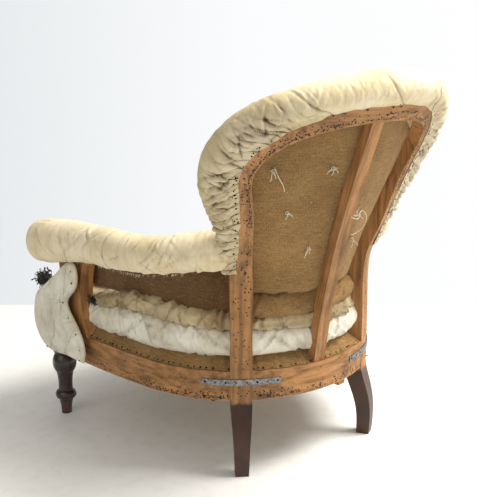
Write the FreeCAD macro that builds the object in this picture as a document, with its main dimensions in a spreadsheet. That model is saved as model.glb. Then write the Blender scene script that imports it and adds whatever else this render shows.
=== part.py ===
"""Low tub armchair with its top covers off: beech frame, springs, stuffing, calico and hessian.

The chair faces -Y and stands on z = 0. The sitter's left hand is on the +X side, and the
chair is a mirror image of itself in the plane x = 0. All sizes are in millimetres.
"""
import FreeCAD, Part
import math
import os

import Sketcher

from FreeCAD import Placement, Rotation, Vector

SHEET = "Sizes"
UP = Vector(0, 0, 1)
LEFT, RIGHT = 1, -1
SIDE_NAMES = {LEFT: "left", RIGHT: "right"}

# Driving dimensions: alias, value in millimetres (or degrees for a name that ends in _deg).
DIMENSIONS = [
    ("origin_shift", 112.8),          # moves the model back so that its box is centred on y = 0
    # seat rails
    ("rail_bottom", 162.0),
    ("rail_height", 63.0),
    ("rail_thickness", 42.0),
    ("rear_centre_y", 25.6),          # centre of the round back of the seat frame
    ("rear_radius", 317.0),
    ("stile_heading_deg", 32.5),      # where the rear legs stand on that round
    ("shoulder_x", 288.0),            # where the side rail's two bends meet
    ("shoulder_y", 115.0),
    ("shoulder_heading_deg", 13.0),
    ("corner_x", 338.0),              # outer front corner of the seat frame
    ("corner_y", -235.0),
    # rear legs and stiles
    ("stile_width", 46.0),
    ("stile_depth", 40.0),
    ("foot_size", 28.0),
    ("foot_splay", 27.0),
    ("stile_straight_top", 385.0),
    # back frame
    ("band_width", 43.0),
    ("band_depth", 28.0),
    ("wing_x", 228.0),
    ("wing_y", 373.0),
    ("wing_z", 650.0),
    ("crest_y", 500.0),
    ("crest_z", 764.0),
    ("crest_rake_deg", 23.6),
    ("splat_width", 29.0),
    ("splat_depth", 22.0),
    # arms
    ("post_thickness", 32.0),
    ("arm_rail_width", 34.0),
    ("arm_rail_depth", 26.0),
    ("arm_roll_radius", 40.0),
    ("arm_bulb_radius", 50.0),
    # front legs
    ("leg_x", 318.0),
    ("leg_y", -203.0),
    ("leg_foot_radius", 12.0),
    ("leg_ring_radius", 24.5),
    ("leg_shaft_radius", 17.0),
    ("leg_ball_radius", 28.0),
    # mending plates
    ("plate_length", 167.0),
    ("plate_width", 12.5),
    ("plate_thickness", 2.0),
    ("plate_height", 202.0),
    ("plate_pitch", 22.0),
    ("plate_hole_radius", 2.3),
    # seat
    ("web_width", 50.0),
    ("web_thickness", 1.5),
    ("spring_base", 164.0),
    ("spring_height", 118.0),
    ("spring_end_radius", 42.0),
    ("spring_waist_radius", 26.0),
    ("spring_wire_radius", 1.7),
    ("lashing_radius", 1.6),
    ("hessian_thickness", 1.5),
    ("hessian_top", 292.0),
    ("stuffing_bottom", 247.0),
    ("stuffing_top", 314.0),
    ("second_top", 362.0),
    ("crown_top", 384.0),
    ("front_overhang", 62.0),
    # back and edge rolls
    ("back_pad_depth", 66.0),
    ("roll_radius", 33.0),
    # fixings
    ("tack_radius", 3.0),
    ("tack_height", 1.4),
    ("tie_radius", 1.6),
]


doc = FreeCAD.newDocument("tub_armchair")
sheet = doc.addObject("Spreadsheet::Sheet", SHEET)
for row, (alias, number) in enumerate(DIMENSIONS, start=1):
    sheet.set(f"A{row}", alias)
    sheet.set(f"B{row}", str(number))
    sheet.setAlias(f"B{row}", alias)
doc.recompute()

sub_parts = []


def size(alias):
    """Value of one driving dimension."""
    return float(sheet.get(alias))


def keep(label, item):
    """Names a finished sub-part, which is also the name of its file."""
    item.Label = label
    sub_parts.append(item)
    return item


# ---------------------------------------------------------------- small geometry helpers

def mirror(vector, side):
    """The vector on the chair's left (+1) or its mirror image on the right (-1)."""
    return Vector(side * vector.x, vector.y, vector.z)


def from_front(heading_deg):
    """Unit vector in plan that points forward (-Y), turned outwards by the heading."""
    angle = math.radians(heading_deg)
    return Vector(math.sin(angle), -math.cos(angle), 0)


def radial(heading_deg):
    """Unit vector in plan that points back (+Y), turned outwards by the heading."""
    angle = math.radians(heading_deg)
    return Vector(math.sin(angle), math.cos(angle), 0)


def on_rear_round(heading_deg, inset=0.0):
    """Plan point on the round back of the seat frame, set in from its outer face."""
    return Vector(0, size("rear_centre_y"), 0) + radial(heading_deg) * (size("rear_radius") - inset)


class TangentArc:
    """Plan arc between two points with a known direction at one of them."""

    def __init__(self, start, end, direction_at_start):
        chord = end - start
        normal = Vector(-direction_at_start.y, direction_at_start.x, 0)
        self.radius = chord.Length ** 2 / (2 * chord.dot(normal))
        self.centre = start + normal * self.radius
        self.start = start
        self.end = end

    def point(self, fraction, inset=0.0):
        """Point at a fraction of the arc, moved towards the middle of the seat."""
        first = self.start - self.centre
        last = self.end - self.centre
        sweep = math.atan2(first.cross(last).z, first.dot(last))
        spoke = Rotation(UP, math.degrees(sweep * fraction)).multVec(first)
        outward = spoke.normalize()
        if outward.x < 0:
            outward = -outward
        reach = abs(self.radius)
        if (self.start - self.centre).x < 0:
            reach = -reach
        return self.centre + outward * (reach - inset)


def side_arcs():
    """The two bends of the left side rail: from the stile to the shoulder, and on to the front."""
    half_angle = math.degrees(size("stile_width") / 2 / size("rear_radius"))
    start = on_rear_round(size("stile_heading_deg") + half_angle)
    shoulder = Vector(size("shoulder_x"), size("shoulder_y"), 0)
    corner = Vector(size("corner_x"), size("corner_y"), 0)
    heading = from_front(size("shoulder_heading_deg"))
    rear_bend = TangentArc(shoulder, start, -heading)
    front_bend = TangentArc(shoulder, corner, heading)
    return rear_bend, front_bend


def arc_edge(points):
    """Arc through three plan points."""
    return Part.Arc(*points)


def bend_reach(place_y, inset):
    """Half width of the seat frame at a place y, set in from the rails' outer faces."""
    rear_bend, front_bend = side_arcs()
    bend = front_bend if place_y < size("shoulder_y") else rear_bend
    radius = abs(bend.radius) - inset
    return bend.centre.x + math.sqrt(radius ** 2 - (place_y - bend.centre.y) ** 2)


def seat_outline(inset, front_inset=None):
    """Closed plan outline of the seat, set in from the rails' outer faces, as curves in order."""
    if front_inset is None:
        front_inset = inset
    rear_bend = side_arcs()[0]
    front_y = size("corner_y") + front_inset
    left = [rear_bend.point(f, inset) for f in (1.0, 0.5, 0.0)]
    middle_y = (left[2].y + front_y) / 2
    front = [Vector(bend_reach(y, inset), y, 0) for y in (middle_y, front_y)]
    left_front = [left[2], front[0], front[1]]
    rear = [mirror(left[0], RIGHT), on_rear_round(0, inset), left[0]]
    return [
        arc_edge(rear),
        arc_edge(left),
        arc_edge(left_front),
        Part.LineSegment(front[1], mirror(front[1], RIGHT)),
        arc_edge([mirror(p, RIGHT) for p in reversed(left_front)]),
        arc_edge([mirror(p, RIGHT) for p in reversed(left)]),
    ]


# ---------------------------------------------------------------- FreeCAD helpers

def new_body(label=None):
    """PartDesign body, moved back with the rest of the chair; kept when it has a label."""
    body = doc.addObject("PartDesign::Body", label or "Blank")
    body.setExpression(".Placement.Base.y", f"-{SHEET}.origin_shift")
    if label:
        keep(label, body)
    return body


def new_sketch(body, role="XY_Plane", placement=None):
    """Empty sketch on one of the body's own origin planes, moved by a placement."""
    plane = next(f for f in body.Origin.OriginFeatures if f.Role == role)
    sketch = body.newObject("Sketcher::SketchObject", "Sketch")
    sketch.AttachmentSupport = [(plane, "")]
    sketch.MapMode = "FlatFace"
    if placement is not None:
        sketch.AttachmentOffset = placement
    return sketch


def add_pad(body, sketch, length):
    """Pads a sketch by an expression of the sheet."""
    pad = body.newObject("PartDesign::Pad", "Pad")
    pad.Profile = sketch
    pad.setExpression("Length", length)
    return pad


def outline_body(label, curves, base, height):
    """Body padded up from a closed plan outline: base is a height, height an expression."""
    body = new_body(label)
    sketch = new_sketch(body, placement=Placement(Vector(0, 0, base), Rotation()))
    for curve in curves:
        sketch.addGeometry(curve)
    add_pad(body, sketch, height)
    return body


def rectangle(sketch, width, depth):
    """Rectangle centred on the sketch's origin; width and depth are expressions of the sheet."""
    corners = [Vector(-10, -10, 0), Vector(10, -10, 0), Vector(10, 10, 0), Vector(-10, 10, 0)]
    for first, second in zip(corners, corners[1:] + corners[:1]):
        sketch.addGeometry(Part.LineSegment(first, second))
    for edge in range(4):
        sketch.addConstraint(Sketcher.Constraint("Coincident", edge, 2, (edge + 1) % 4, 1))
    sketch.addConstraint(Sketcher.Constraint("Horizontal", 0))
    sketch.addConstraint(Sketcher.Constraint("Horizontal", 2))
    sketch.addConstraint(Sketcher.Constraint("Vertical", 1))
    sketch.addConstraint(Sketcher.Constraint("Vertical", 3))
    sketch.addConstraint(Sketcher.Constraint("Symmetric", 0, 1, 2, 1, -1, 1))
    across = sketch.addConstraint(Sketcher.Constraint("DistanceX", 0, 1, 0, 2, 20))
    sketch.setExpression(f"Constraints[{across}]", width)
    along = sketch.addConstraint(Sketcher.Constraint("DistanceY", 1, 1, 1, 2, 20))
    sketch.setExpression(f"Constraints[{along}]", depth)


def circle(sketch, radius):
    """Circle about the sketch's origin; the radius is an expression of the sheet."""
    sketch.addGeometry(Part.Circle(Vector(), UP, 10))
    sketch.addConstraint(Sketcher.Constraint("Coincident", 0, 3, -1, 1))
    reach = sketch.addConstraint(Sketcher.Constraint("Radius", 0, 10))
    sketch.setExpression(f"Constraints[{reach}]", radius)


class Station:
    """Where a member's section stands: its centre, the way the member runs, and its width's way."""

    def __init__(self, centre, along, across, sizes):
        self.centre = centre
        self.along = along
        self.across = across
        self.sizes = sizes

    def placement(self, side):
        turn = Rotation(mirror(self.across, side), Vector(), mirror(self.along, side), "ZXY")
        return Placement(mirror(self.centre, side), turn)


def loft_body(label, stations, side, draw):
    """Body lofted through a section drawn at each station."""
    body = new_body(label)
    sketches = []
    for station in stations:
        sketch = new_sketch(body, placement=station.placement(side))
        draw(sketch, *station.sizes)
        sketches.append(sketch)
    loft = body.newObject("PartDesign::AdditiveLoft", "Loft")
    loft.Profile = sketches[0]
    loft.Sections = sketches[1:]
    return body


def cut(label, base, tools):
    """Takes other solids away from a base."""
    tool = tools[0]
    if len(tools) > 1:
        tool = doc.addObject("Part::MultiFuse", "Tools")
        tool.Shapes = tools
    result = doc.addObject("Part::Cut", label)
    result.Base = base
    result.Tool = tool
    return keep(label, result)


def group(label, members):
    """One node that holds several like pieces as separate solids."""
    compound = doc.addObject("Part::Compound", label)
    compound.Links = members
    return keep(label, compound)


def cylinder(radius, height, centre, axis):
    """Cylinder on a point; radius and height are expressions of the sheet."""
    piece = doc.addObject("Part::Cylinder", "Cylinder")
    piece.setExpression("Radius", radius)
    piece.setExpression("Height", height)
    shifted = centre - Vector(0, size("origin_shift"), 0)
    piece.Placement = Placement(shifted, Rotation(UP, axis))
    return piece


# ---------------------------------------------------------------- seat frame

def make_rear_rail():
    """Curved rail between the two rear legs."""
    half_angle = math.degrees(size("stile_width") / 2 / size("rear_radius"))
    heading = size("stile_heading_deg") - half_angle
    thickness = size("rail_thickness")
    outer = [on_rear_round(angle) for angle in (-heading, 0, heading)]
    inner = [on_rear_round(angle, thickness) for angle in (heading, 0, -heading)]
    curves = [
        arc_edge(outer),
        Part.LineSegment(outer[2], inner[0]),
        arc_edge(inner),
        Part.LineSegment(inner[2], outer[0]),
    ]
    outline_body("rear_seat_rail", curves, size("rail_bottom"), f"{SHEET}.rail_height")


def make_side_rail(side):
    """Side rail, sawn to two bends, from the rear leg to the front corner."""
    thickness = size("rail_thickness")
    rear_bend, front_bend = side_arcs()
    outer_rear = [rear_bend.point(f) for f in (1.0, 0.5, 0.0)]
    outer_front = [front_bend.point(f) for f in (0.0, 0.5, 1.0)]
    inner_front = [front_bend.point(f, thickness) for f in (1.0, 0.5, 0.0)]
    inner_rear = [rear_bend.point(f, thickness) for f in (0.0, 0.5, 1.0)]
    arcs = [[mirror(p, side) for p in points]
            for points in (outer_rear, outer_front, inner_front, inner_rear)]
    curves = [
        arc_edge(arcs[0]),
        arc_edge(arcs[1]),
        Part.LineSegment(arcs[1][2], arcs[2][0]),
        arc_edge(arcs[2]),
        arc_edge(arcs[3]),
        Part.LineSegment(arcs[3][2], arcs[0][0]),
    ]
    name = f"side_seat_rail_{SIDE_NAMES[side]}"
    outline_body(name, curves, size("rail_bottom"), f"{SHEET}.rail_height")


def make_front_rail():
    """Straight rail between the ends of the side rails."""
    front_bend = side_arcs()[1]
    thickness = size("rail_thickness")
    inner = front_bend.point(1.0, thickness)
    back = front_bend.point(0.87, thickness)
    corners = [inner, back, mirror(back, RIGHT), mirror(inner, RIGHT)]
    curves = [Part.LineSegment(a, b) for a, b in zip(corners, corners[1:] + corners[:1])]
    outline_body("front_seat_rail", curves, size("rail_bottom"), f"{SHEET}.rail_height")


def make_corner_blocks():
    """Glued triangular blocks in the two front corners of the seat frame."""
    front_bend = side_arcs()[1]
    thickness = size("rail_thickness")
    corner = front_bend.point(0.87, thickness)
    leg = 55.0
    blocks = []
    for side in (LEFT, RIGHT):
        along_side = front_bend.point(0.72, thickness)
        points = [mirror(p, side) for p in (corner, along_side, corner - Vector(leg, 0, 0))]
        curves = [Part.LineSegment(a, b) for a, b in zip(points, points[1:] + points[:1])]
        block = outline_body(None, curves, size("rail_bottom") + 6, f"{SHEET}.rail_height * 0.7")
        blocks.append(block)
    group("corner_blocks", blocks)


def make_under_rail_block():
    """Small cleat glued under the rear rail."""
    body = new_body("under_rail_block")
    centre = on_rear_round(-13.0, 14.0) + Vector(0, 0, size("rail_bottom") - 10)
    sketch = new_sketch(body, placement=Placement(centre, Rotation(UP, 13.0)))
    rectangle(sketch, "22 mm", "24 mm")
    add_pad(body, sketch, "10 mm")


def side_station(height, splay, width, depth):
    """Level section of the rear leg or of the straight foot of the stile."""
    out = radial(size("stile_heading_deg"))
    across = from_front(90 - size("stile_heading_deg"))
    centre = on_rear_round(size("stile_heading_deg"), size("stile_depth") / 2 - splay)
    return Station(centre + UP * height, UP, across, (width, depth))


# ---------------------------------------------------------------- back frame

def back_curve():
    """Line up the middle of the back frame's rear face, over the crest and down the other side."""
    stile = on_rear_round(size("stile_heading_deg"))
    left = [
        stile + UP * size("stile_straight_top"),
        Vector(187, 313, 475),
        Vector(208, 346, 575),
        Vector(size("wing_x"), size("wing_y"), size("wing_z")),
        Vector(214, 412, 700),
        Vector(150, 470, 746),
        Vector(78, 492, 760),
    ]
    crest = Vector(0, size("crest_y"), size("crest_z"))
    points = left + [crest] + [mirror(p, RIGHT) for p in reversed(left)]
    curve = Part.BSplineCurve()
    curve.interpolate(Points=points, InitialTangent=UP, FinalTangent=-UP)
    return curve


BACK_CURVE = back_curve()


def back_axes(fraction):
    """Point on the back curve with the ways along it, out of its rear face and outwards."""
    first, last = BACK_CURVE.FirstParameter, BACK_CURVE.LastParameter
    parameter = first + (last - first) * fraction
    point = BACK_CURVE.value(parameter)
    along = BACK_CURVE.tangent(parameter)[0]
    share = min(fraction, 1 - fraction) * 2
    blend = share * share * (3 - 2 * share)
    side = LEFT if fraction <= 0.5 else RIGHT
    rake = math.radians(size("crest_rake_deg"))
    low = mirror(radial(size("stile_heading_deg")), side)
    high = Vector(0, math.cos(rake), -math.sin(rake))
    face = low * (1 - blend) + high * blend
    face = (face - along * face.dot(along)).normalize()
    outward = face.cross(along)
    return point, along, face, outward


def band_station(fraction, width, depth, depth_value):
    """Section of the back frame, with its rear face on the back curve."""
    point, along, face, outward = back_axes(fraction)
    return Station(point - face * (depth_value / 2), along, outward, (width, depth))


STILE_END = 0.165        # fractions of the back curve where the back frame's pieces are scarfed
SHOULDER_END = 0.37


def make_rear_leg(side):
    """Rear leg and stile sawn from one plank: sabre foot, straight at the rail, swept up top."""
    rail_top = size("rail_bottom") + size("rail_height")
    foot = f"{SHEET}.foot_size"
    width, depth = f"{SHEET}.stile_width", f"{SHEET}.stile_depth"
    splay = size("foot_splay")
    stations = [
        side_station(0, splay, foot, foot),
        side_station(38, splay * 1.04, f"{foot} * 1.1", f"{foot} * 1.1"),
        side_station(76, splay * 0.92, f"{foot} * 1.24", f"{foot} * 1.22"),
        side_station(114, splay * 0.55, f"{width} * 0.87", f"{depth} * 0.95"),
        side_station(size("rail_bottom") - 8, splay * 0.1, f"{width} * 0.97", f"{depth}"),
        side_station(rail_top, 0, width, depth),
        side_station(310, 0, f"{width} * 0.97", f"{depth}"),
    ]
    steps = 5
    for step in range(steps + 1):
        share = step / steps
        fraction = STILE_END * share
        deep = size("stile_depth") * (1 - share) + size("band_depth") * share
        wide = f"{width} * {1 - share:.3f} + {SHEET}.band_width * {share:.3f}"
        thick = f"{depth} * {1 - share:.3f} + {SHEET}.band_depth * {share:.3f}"
        stations.append(band_station(fraction, wide, thick, deep))
    loft_body(f"rear_leg_stile_{SIDE_NAMES[side]}", stations, side, rectangle)


def make_back_shoulder(side):
    """Piece scarfed between the stile and the crest, round the wing."""
    steps = 8
    stations = []
    for step in range(steps + 1):
        fraction = STILE_END + (SHOULDER_END - STILE_END) * step / steps
        stations.append(band_station(
            fraction, f"{SHEET}.band_width", f"{SHEET}.band_depth", size("band_depth")))
    loft_body(f"back_shoulder_{SIDE_NAMES[side]}", stations, side, rectangle)


def make_crest_rail():
    """Top rail of the back, bowed in plan and in height."""
    steps = 10
    stations = []
    for step in range(steps + 1):
        fraction = SHOULDER_END + (1 - 2 * SHOULDER_END) * step / steps
        stations.append(band_station(
            fraction, f"{SHEET}.band_width", f"{SHEET}.band_depth", size("band_depth")))
    loft_body("crest_rail", stations, LEFT, rectangle)


def splat_curve():
    """Rear face of the splat in the middle plane, from the rear rail to the crest."""
    rail_top = size("rail_bottom") + size("rail_height")
    rake = math.radians(size("crest_rake_deg"))
    half_band = size("band_width") / 2
    top = Vector(0, size("crest_y") - half_band * math.sin(rake),
                 size("crest_z") - half_band * math.cos(rake))
    bottom = Vector(0, size("rear_centre_y") + size("rear_radius") - 3, rail_top)
    curve = Part.BSplineCurve()
    curve.interpolate([bottom, Vector(0, 391, 470), Vector(0, 437, 607), top])
    return curve


SPLAT_CURVE = splat_curve()


def splat_rear(height):
    """Rear face of the splat at a height: its y."""
    first, last = SPLAT_CURVE.FirstParameter, SPLAT_CURVE.LastParameter
    for _ in range(40):
        middle = (first + last) / 2
        if SPLAT_CURVE.value(middle).z < height:
            first = middle
        else:
            last = middle
    return SPLAT_CURVE.value(first).y


def make_splat():
    """Upright bar in the middle of the back, on the rear rail and under the crest."""
    first, last = SPLAT_CURVE.FirstParameter, SPLAT_CURVE.LastParameter
    across = Vector(1, 0, 0)
    half_depth = size("splat_depth") / 2
    stations = []
    steps = 5
    for step in range(steps + 1):
        parameter = first + (last - first) * step / steps
        along = SPLAT_CURVE.tangent(parameter)[0]
        if step == 0:
            along = UP
        rearward = across.cross(along) * -1
        centre = SPLAT_CURVE.value(parameter) - rearward * half_depth
        stations.append(Station(
            centre, along, across, (f"{SHEET}.splat_width", f"{SHEET}.splat_depth")))
    loft_body("back_splat", stations, LEFT, rectangle)


# ---------------------------------------------------------------- arms

ARM_AXIS = [
    Vector(210, 262, 482),
    Vector(258, 208, 472),
    Vector(297, 130, 458),
    Vector(315, 33, 454),
    Vector(334, -70, 449),
    Vector(348, -150, 436),
    Vector(354, -197, 430),
]


def arm_curve():
    """Middle line of the arm, from the stile to the front."""
    curve = Part.BSplineCurve()
    curve.interpolate(ARM_AXIS)
    return curve


ARM_CURVE = arm_curve()


def arm_axes(fraction):
    """Point on the arm's middle line with the ways along it and across it."""
    first, last = ARM_CURVE.FirstParameter, ARM_CURVE.LastParameter
    parameter = first + (last - first) * fraction
    along = ARM_CURVE.tangent(parameter)[0]
    across = along.cross(UP).normalize()
    return ARM_CURVE.value(parameter), along, across


def make_arm_post(side):
    """Board that stands on the side rail and carries the front of the arm rail."""
    rail_top = size("rail_bottom") + size("rail_height")
    post_top = 418.0
    body = new_body(f"arm_post_{SIDE_NAMES[side]}")
    inner_x = 294.0
    face = Placement(Vector(0, 0, side * inner_x - (size("post_thickness") if side < 0 else 0)),
                     Rotation())
    sketch = new_sketch(body, "YZ_Plane", face)
    rear = [Vector(-72, rail_top, 0), Vector(-96, 310, 0), Vector(-66, post_top, 0)]
    front = [Vector(-205, post_top, 0), Vector(-188, 310, 0), Vector(-205, rail_top, 0)]
    sketch.addGeometry(arc_edge(rear))
    sketch.addGeometry(Part.LineSegment(rear[2], front[0]))
    sketch.addGeometry(arc_edge(front))
    sketch.addGeometry(Part.LineSegment(front[2], rear[0]))
    add_pad(body, sketch, f"{SHEET}.post_thickness")


def make_arm_rail(side):
    """Bar under the arm's stuffing, from the stile to the top of the post."""
    steps = 7
    stations = []
    for step in range(steps + 1):
        centre, along, across = arm_axes(0.02 + 0.9 * step / steps)
        centre = centre - UP * 4
        stations.append(Station(
            centre, along, across, (f"{SHEET}.arm_rail_width", f"{SHEET}.arm_rail_depth")))
    return loft_body(f"arm_rail_{SIDE_NAMES[side]}", stations, side, rectangle)


def make_arm_pad(side, arm_rail):
    """Stuffed roll over the arm rail, fuller at the front."""
    roll, bulb = f"{SHEET}.arm_roll_radius", f"{SHEET}.arm_bulb_radius"
    swell = [
        (0.0, f"{roll} * 1.05"),
        (0.18, f"{roll}"),
        (0.4, f"{roll}"),
        (0.6, f"{roll} * 1.02"),
        (0.8, f"{bulb} * 0.93"),
        (0.93, f"{bulb}"),
    ]
    stations = []
    for fraction, radius in swell:
        centre, along, across = arm_axes(fraction)
        stations.append(Station(centre, along, across, (radius,)))
    tip, along, across = arm_axes(1.0)
    for reach, share in ((8, 0.96), (22, 0.78), (32, 0.5)):
        stations.append(Station(tip + along * reach, along, across, (f"{bulb} * {share}",)))
    roll_body = loft_body(None, stations, side, circle)
    cut(f"arm_pad_{SIDE_NAMES[side]}", roll_body, [arm_rail])


def make_inner_arm(side, name, outer_inset, depth, bottom, height):
    """Sheet or pad that lines the inside of the arm, from the stile to the post."""
    rear_bend, front_bend = side_arcs()
    outer_rear = [rear_bend.point(f, outer_inset) for f in (0.92, 0.45, 0.0)]
    outer_front = [front_bend.point(f, outer_inset) for f in (0.0, 0.3, 0.62)]
    inner_front = [front_bend.point(f, outer_inset + depth) for f in (0.62, 0.3, 0.0)]
    inner_rear = [rear_bend.point(f, outer_inset + depth) for f in (0.0, 0.45, 0.92)]
    arcs = [[mirror(p, side) for p in points]
            for points in (outer_rear, outer_front, inner_front, inner_rear)]
    curves = [
        arc_edge(arcs[0]),
        arc_edge(arcs[1]),
        Part.LineSegment(arcs[1][2], arcs[2][0]),
        arc_edge(arcs[2]),
        arc_edge(arcs[3]),
        Part.LineSegment(arcs[3][2], arcs[0][0]),
    ]
    outline_body(f"{name}_{SIDE_NAMES[side]}", curves, bottom, height)


# ---------------------------------------------------------------- front legs

def make_front_leg(side):
    """Turned leg: tapered foot, ring, shaft, ball and collar."""
    body = new_body(f"front_leg_{SIDE_NAMES[side]}")
    body.Placement.Base.x = side * size("leg_x")
    body.setExpression(".Placement.Base.y", f"{SHEET}.leg_y - {SHEET}.origin_shift")
    sketch = new_sketch(body, "XZ_Plane")
    foot, ring = size("leg_foot_radius"), size("leg_ring_radius")
    shaft, ball = size("leg_shaft_radius"), size("leg_ball_radius")
    top = size("rail_bottom")

    def at(radius, height):
        return Vector(radius, height, 0)

    outline = [
        Part.LineSegment(at(0, 0), at(foot, 0)),
        arc_edge([at(foot, 0), at(foot + 1.2, 18), at(foot + 5, 36)]),
        arc_edge([at(foot + 5, 36), at(ring, 47), at(shaft, 58)]),
        arc_edge([at(shaft, 58), at(shaft - 0.4, 80), at(shaft + 3, 104)]),
        arc_edge([at(shaft + 3, 104), at(ball, 128), at(shaft + 4, 150)]),
        arc_edge([at(shaft + 4, 150), at(ring + 0.5, 156), at(ring - 1, top)]),
        Part.LineSegment(at(ring - 1, top), at(0, top)),
        Part.LineSegment(at(0, top), at(0, 0)),
    ]
    for curve in outline:
        sketch.addGeometry(curve)
    turned = body.newObject("PartDesign::Revolution", "Turned")
    turned.Profile = sketch
    turned.ReferenceAxis = (sketch, ["V_Axis"])
    turned.Angle = 360.0


# ---------------------------------------------------------------- mending plates

def plate_point(distance, lift):
    """Plan point on a mending plate, at a distance along it from the middle of the stile."""
    half_stile = size("stile_width") / 2
    if distance <= half_stile:
        heading = size("stile_heading_deg") + math.degrees(distance / size("rear_radius"))
        return on_rear_round(heading, -lift), radial(heading)
    rear_bend = side_arcs()[0]
    first = rear_bend.point(1.0) - rear_bend.centre
    turn = math.degrees((distance - half_stile) / abs(rear_bend.radius))
    spoke = Rotation(UP, -turn).multVec(first).normalize()
    return rear_bend.centre + spoke * (abs(rear_bend.radius) + lift), spoke


def make_mending_plate(side):
    """Bent steel strip with screw holes, over the joints between a rear leg and its rails."""
    half = size("plate_length") / 2
    half_stile = size("stile_width") / 2
    gap = 0.2
    thick = size("plate_thickness")
    rear = (-half, (half_stile - half) / 2, half_stile)
    front = (half_stile, (half + half_stile) / 2, half)
    rows = []
    for lift in (gap, gap + thick):
        for span in (rear, front):
            rows.append([mirror(plate_point(d, lift)[0], side) for d in span])
    joint = rows[2][2]
    rows[3][0] = joint
    curves = [
        arc_edge(rows[0]),
        arc_edge(rows[1]),
        Part.LineSegment(rows[1][2], rows[3][2]),
        arc_edge(rows[3]),
        arc_edge(rows[2]),
        Part.LineSegment(rows[2][0], rows[0][0]),
    ]
    base = size("plate_height") - size("plate_width") / 2
    strip = outline_body(None, curves, base, f"{SHEET}.plate_width")
    holes = []
    for index in range(8):
        distance = (index - 3.5) * size("plate_pitch") * 0.98
        point, outward = plate_point(distance, -2)
        start = mirror(point, side) + UP * size("plate_height")
        holes.append(cylinder(f"{SHEET}.plate_hole_radius", "8 mm", start, mirror(outward, side)))
    cut(f"mending_plate_{SIDE_NAMES[side]}", strip, holes)


def make_plate_screws():
    """Round-headed screws in four holes of each mending plate."""
    heads = []
    for side in (LEFT, RIGHT):
        for index in (0, 2, 5, 7):
            distance = (index - 3.5) * size("plate_pitch") * 0.98
            point, outward = plate_point(distance, 0.2)
            start = mirror(point, side) + UP * size("plate_height")
            heads.append(cylinder(f"{SHEET}.plate_hole_radius * 0.92",
                                  f"{SHEET}.plate_thickness + 0.8", start,
                                  mirror(outward, side)))
    group("mending_plate_screws", heads)


# ---------------------------------------------------------------- seat

WEB_SPACING_ACROSS = 96.0
WEB_SPACING_ALONG = 88.0
FIRST_CROSS_WEB_Y = -150.0


def make_webbing():
    """Jute webs tacked under the rails: five from front to back and five across."""
    thick = size("web_thickness")
    inset = 14.0
    strips = []
    front_y = size("corner_y") + inset
    for index in range(-2, 3):
        x = index * WEB_SPACING_ACROSS
        back_y = size("rear_centre_y") + math.sqrt((size("rear_radius") - 34) ** 2 - x ** 2)
        strips.append((x, (front_y + back_y) / 2, back_y - front_y, True))
    for index in range(5):
        y = FIRST_CROSS_WEB_Y + index * WEB_SPACING_ALONG
        strips.append((0.0, y, 2 * bend_reach(y, 32.0), False))
    for lengthwise, name in ((True, "lengthwise"), (False, "crosswise")):
        members = []
        for x, y, length, runs_back in strips:
            if runs_back != lengthwise:
                continue
            level = size("rail_bottom") - thick * (1.05 if lengthwise else 2.15)
            body = new_body()
            turn = Rotation(UP, 0 if lengthwise else 90)
            sketch = new_sketch(body, placement=Placement(Vector(x, y, level), turn))
            rectangle(sketch, f"{SHEET}.web_width", f"{length:.1f} mm")
            add_pad(body, sketch, f"{SHEET}.web_thickness")
            members.append(body)
        group(f"seat_webbing_{name}", members)


# Each row of springs: its y, and the x of the springs in it.
SPRING_ROWS = [(-128.0, (-165.0, 0.0, 165.0)), (18.0, (-160.0, 0.0, 160.0)),
               (160.0, (-125.0, 0.0, 125.0))]


def spring_shape():
    """One hourglass coil spring, standing on z = 0."""
    height = size("spring_height")
    end, waist = size("spring_end_radius"), size("spring_waist_radius")
    turns, steps = 5, 12
    points = []
    for index in range(turns * steps + 1):
        share = index / (turns * steps)
        reach = waist + (end - waist) * (2 * share - 1) ** 2
        angle = 2 * math.pi * turns * share
        points.append(Vector(reach * math.cos(angle), reach * math.sin(angle), height * share))
    path = Part.BSplineCurve()
    path.interpolate(points)
    wire = Part.Wire([path.toShape()])
    start = path.tangent(path.FirstParameter)[0]
    section = Part.Wire([Part.makeCircle(size("spring_wire_radius"), points[0], start)])
    return wire.makePipeShell([section], True, True)


def make_springs():
    """Nine coil springs that stand on the webbing."""
    spring = spring_shape()
    coils = []
    for y, columns in SPRING_ROWS:
        for x in columns:
            coil = spring.copy()
            coil.translate(Vector(x, y, 0))
            coils.append(coil)
    node = doc.addObject("Part::Feature", "seat_springs")
    node.Shape = Part.makeCompound(coils)
    node.Placement = Placement(Vector(0, -size("origin_shift"), size("spring_base")), Rotation())
    keep("seat_springs", node)


def make_lashing():
    """Laid cord knotted over the springs' tops, along each row and each column."""
    level = size("spring_base") + size("spring_height") + size("lashing_radius") + 2
    cords = []
    for y, columns in SPRING_ROWS:
        reach = abs(columns[0]) + 44
        cords.append(cylinder(f"{SHEET}.lashing_radius", f"{2 * reach:.1f} mm",
                              Vector(-reach, y, level), Vector(1, 0, 0)))
    for x in (-142.0, 0.0, 142.0):
        cords.append(cylinder(f"{SHEET}.lashing_radius", "330 mm",
                              Vector(x, -150, level + 3.4), Vector(0, 1, 0)))
    group("spring_lashing", cords)


def dome(extra, bottom, top):
    """Solid that narrows from the rails' tops to a level above the springs."""
    body = new_body()
    sketches = []
    for level, inset in ((bottom, 10.0 - extra), (top, 66.0 - extra)):
        sketch = new_sketch(body, placement=Placement(Vector(0, 0, level), Rotation()))
        for curve in seat_outline(inset):
            sketch.addGeometry(curve)
        sketches.append(sketch)
    loft = body.newObject("PartDesign::AdditiveLoft", "Loft")
    loft.Profile = sketches[0]
    loft.Sections = sketches[1:]
    return body


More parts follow.
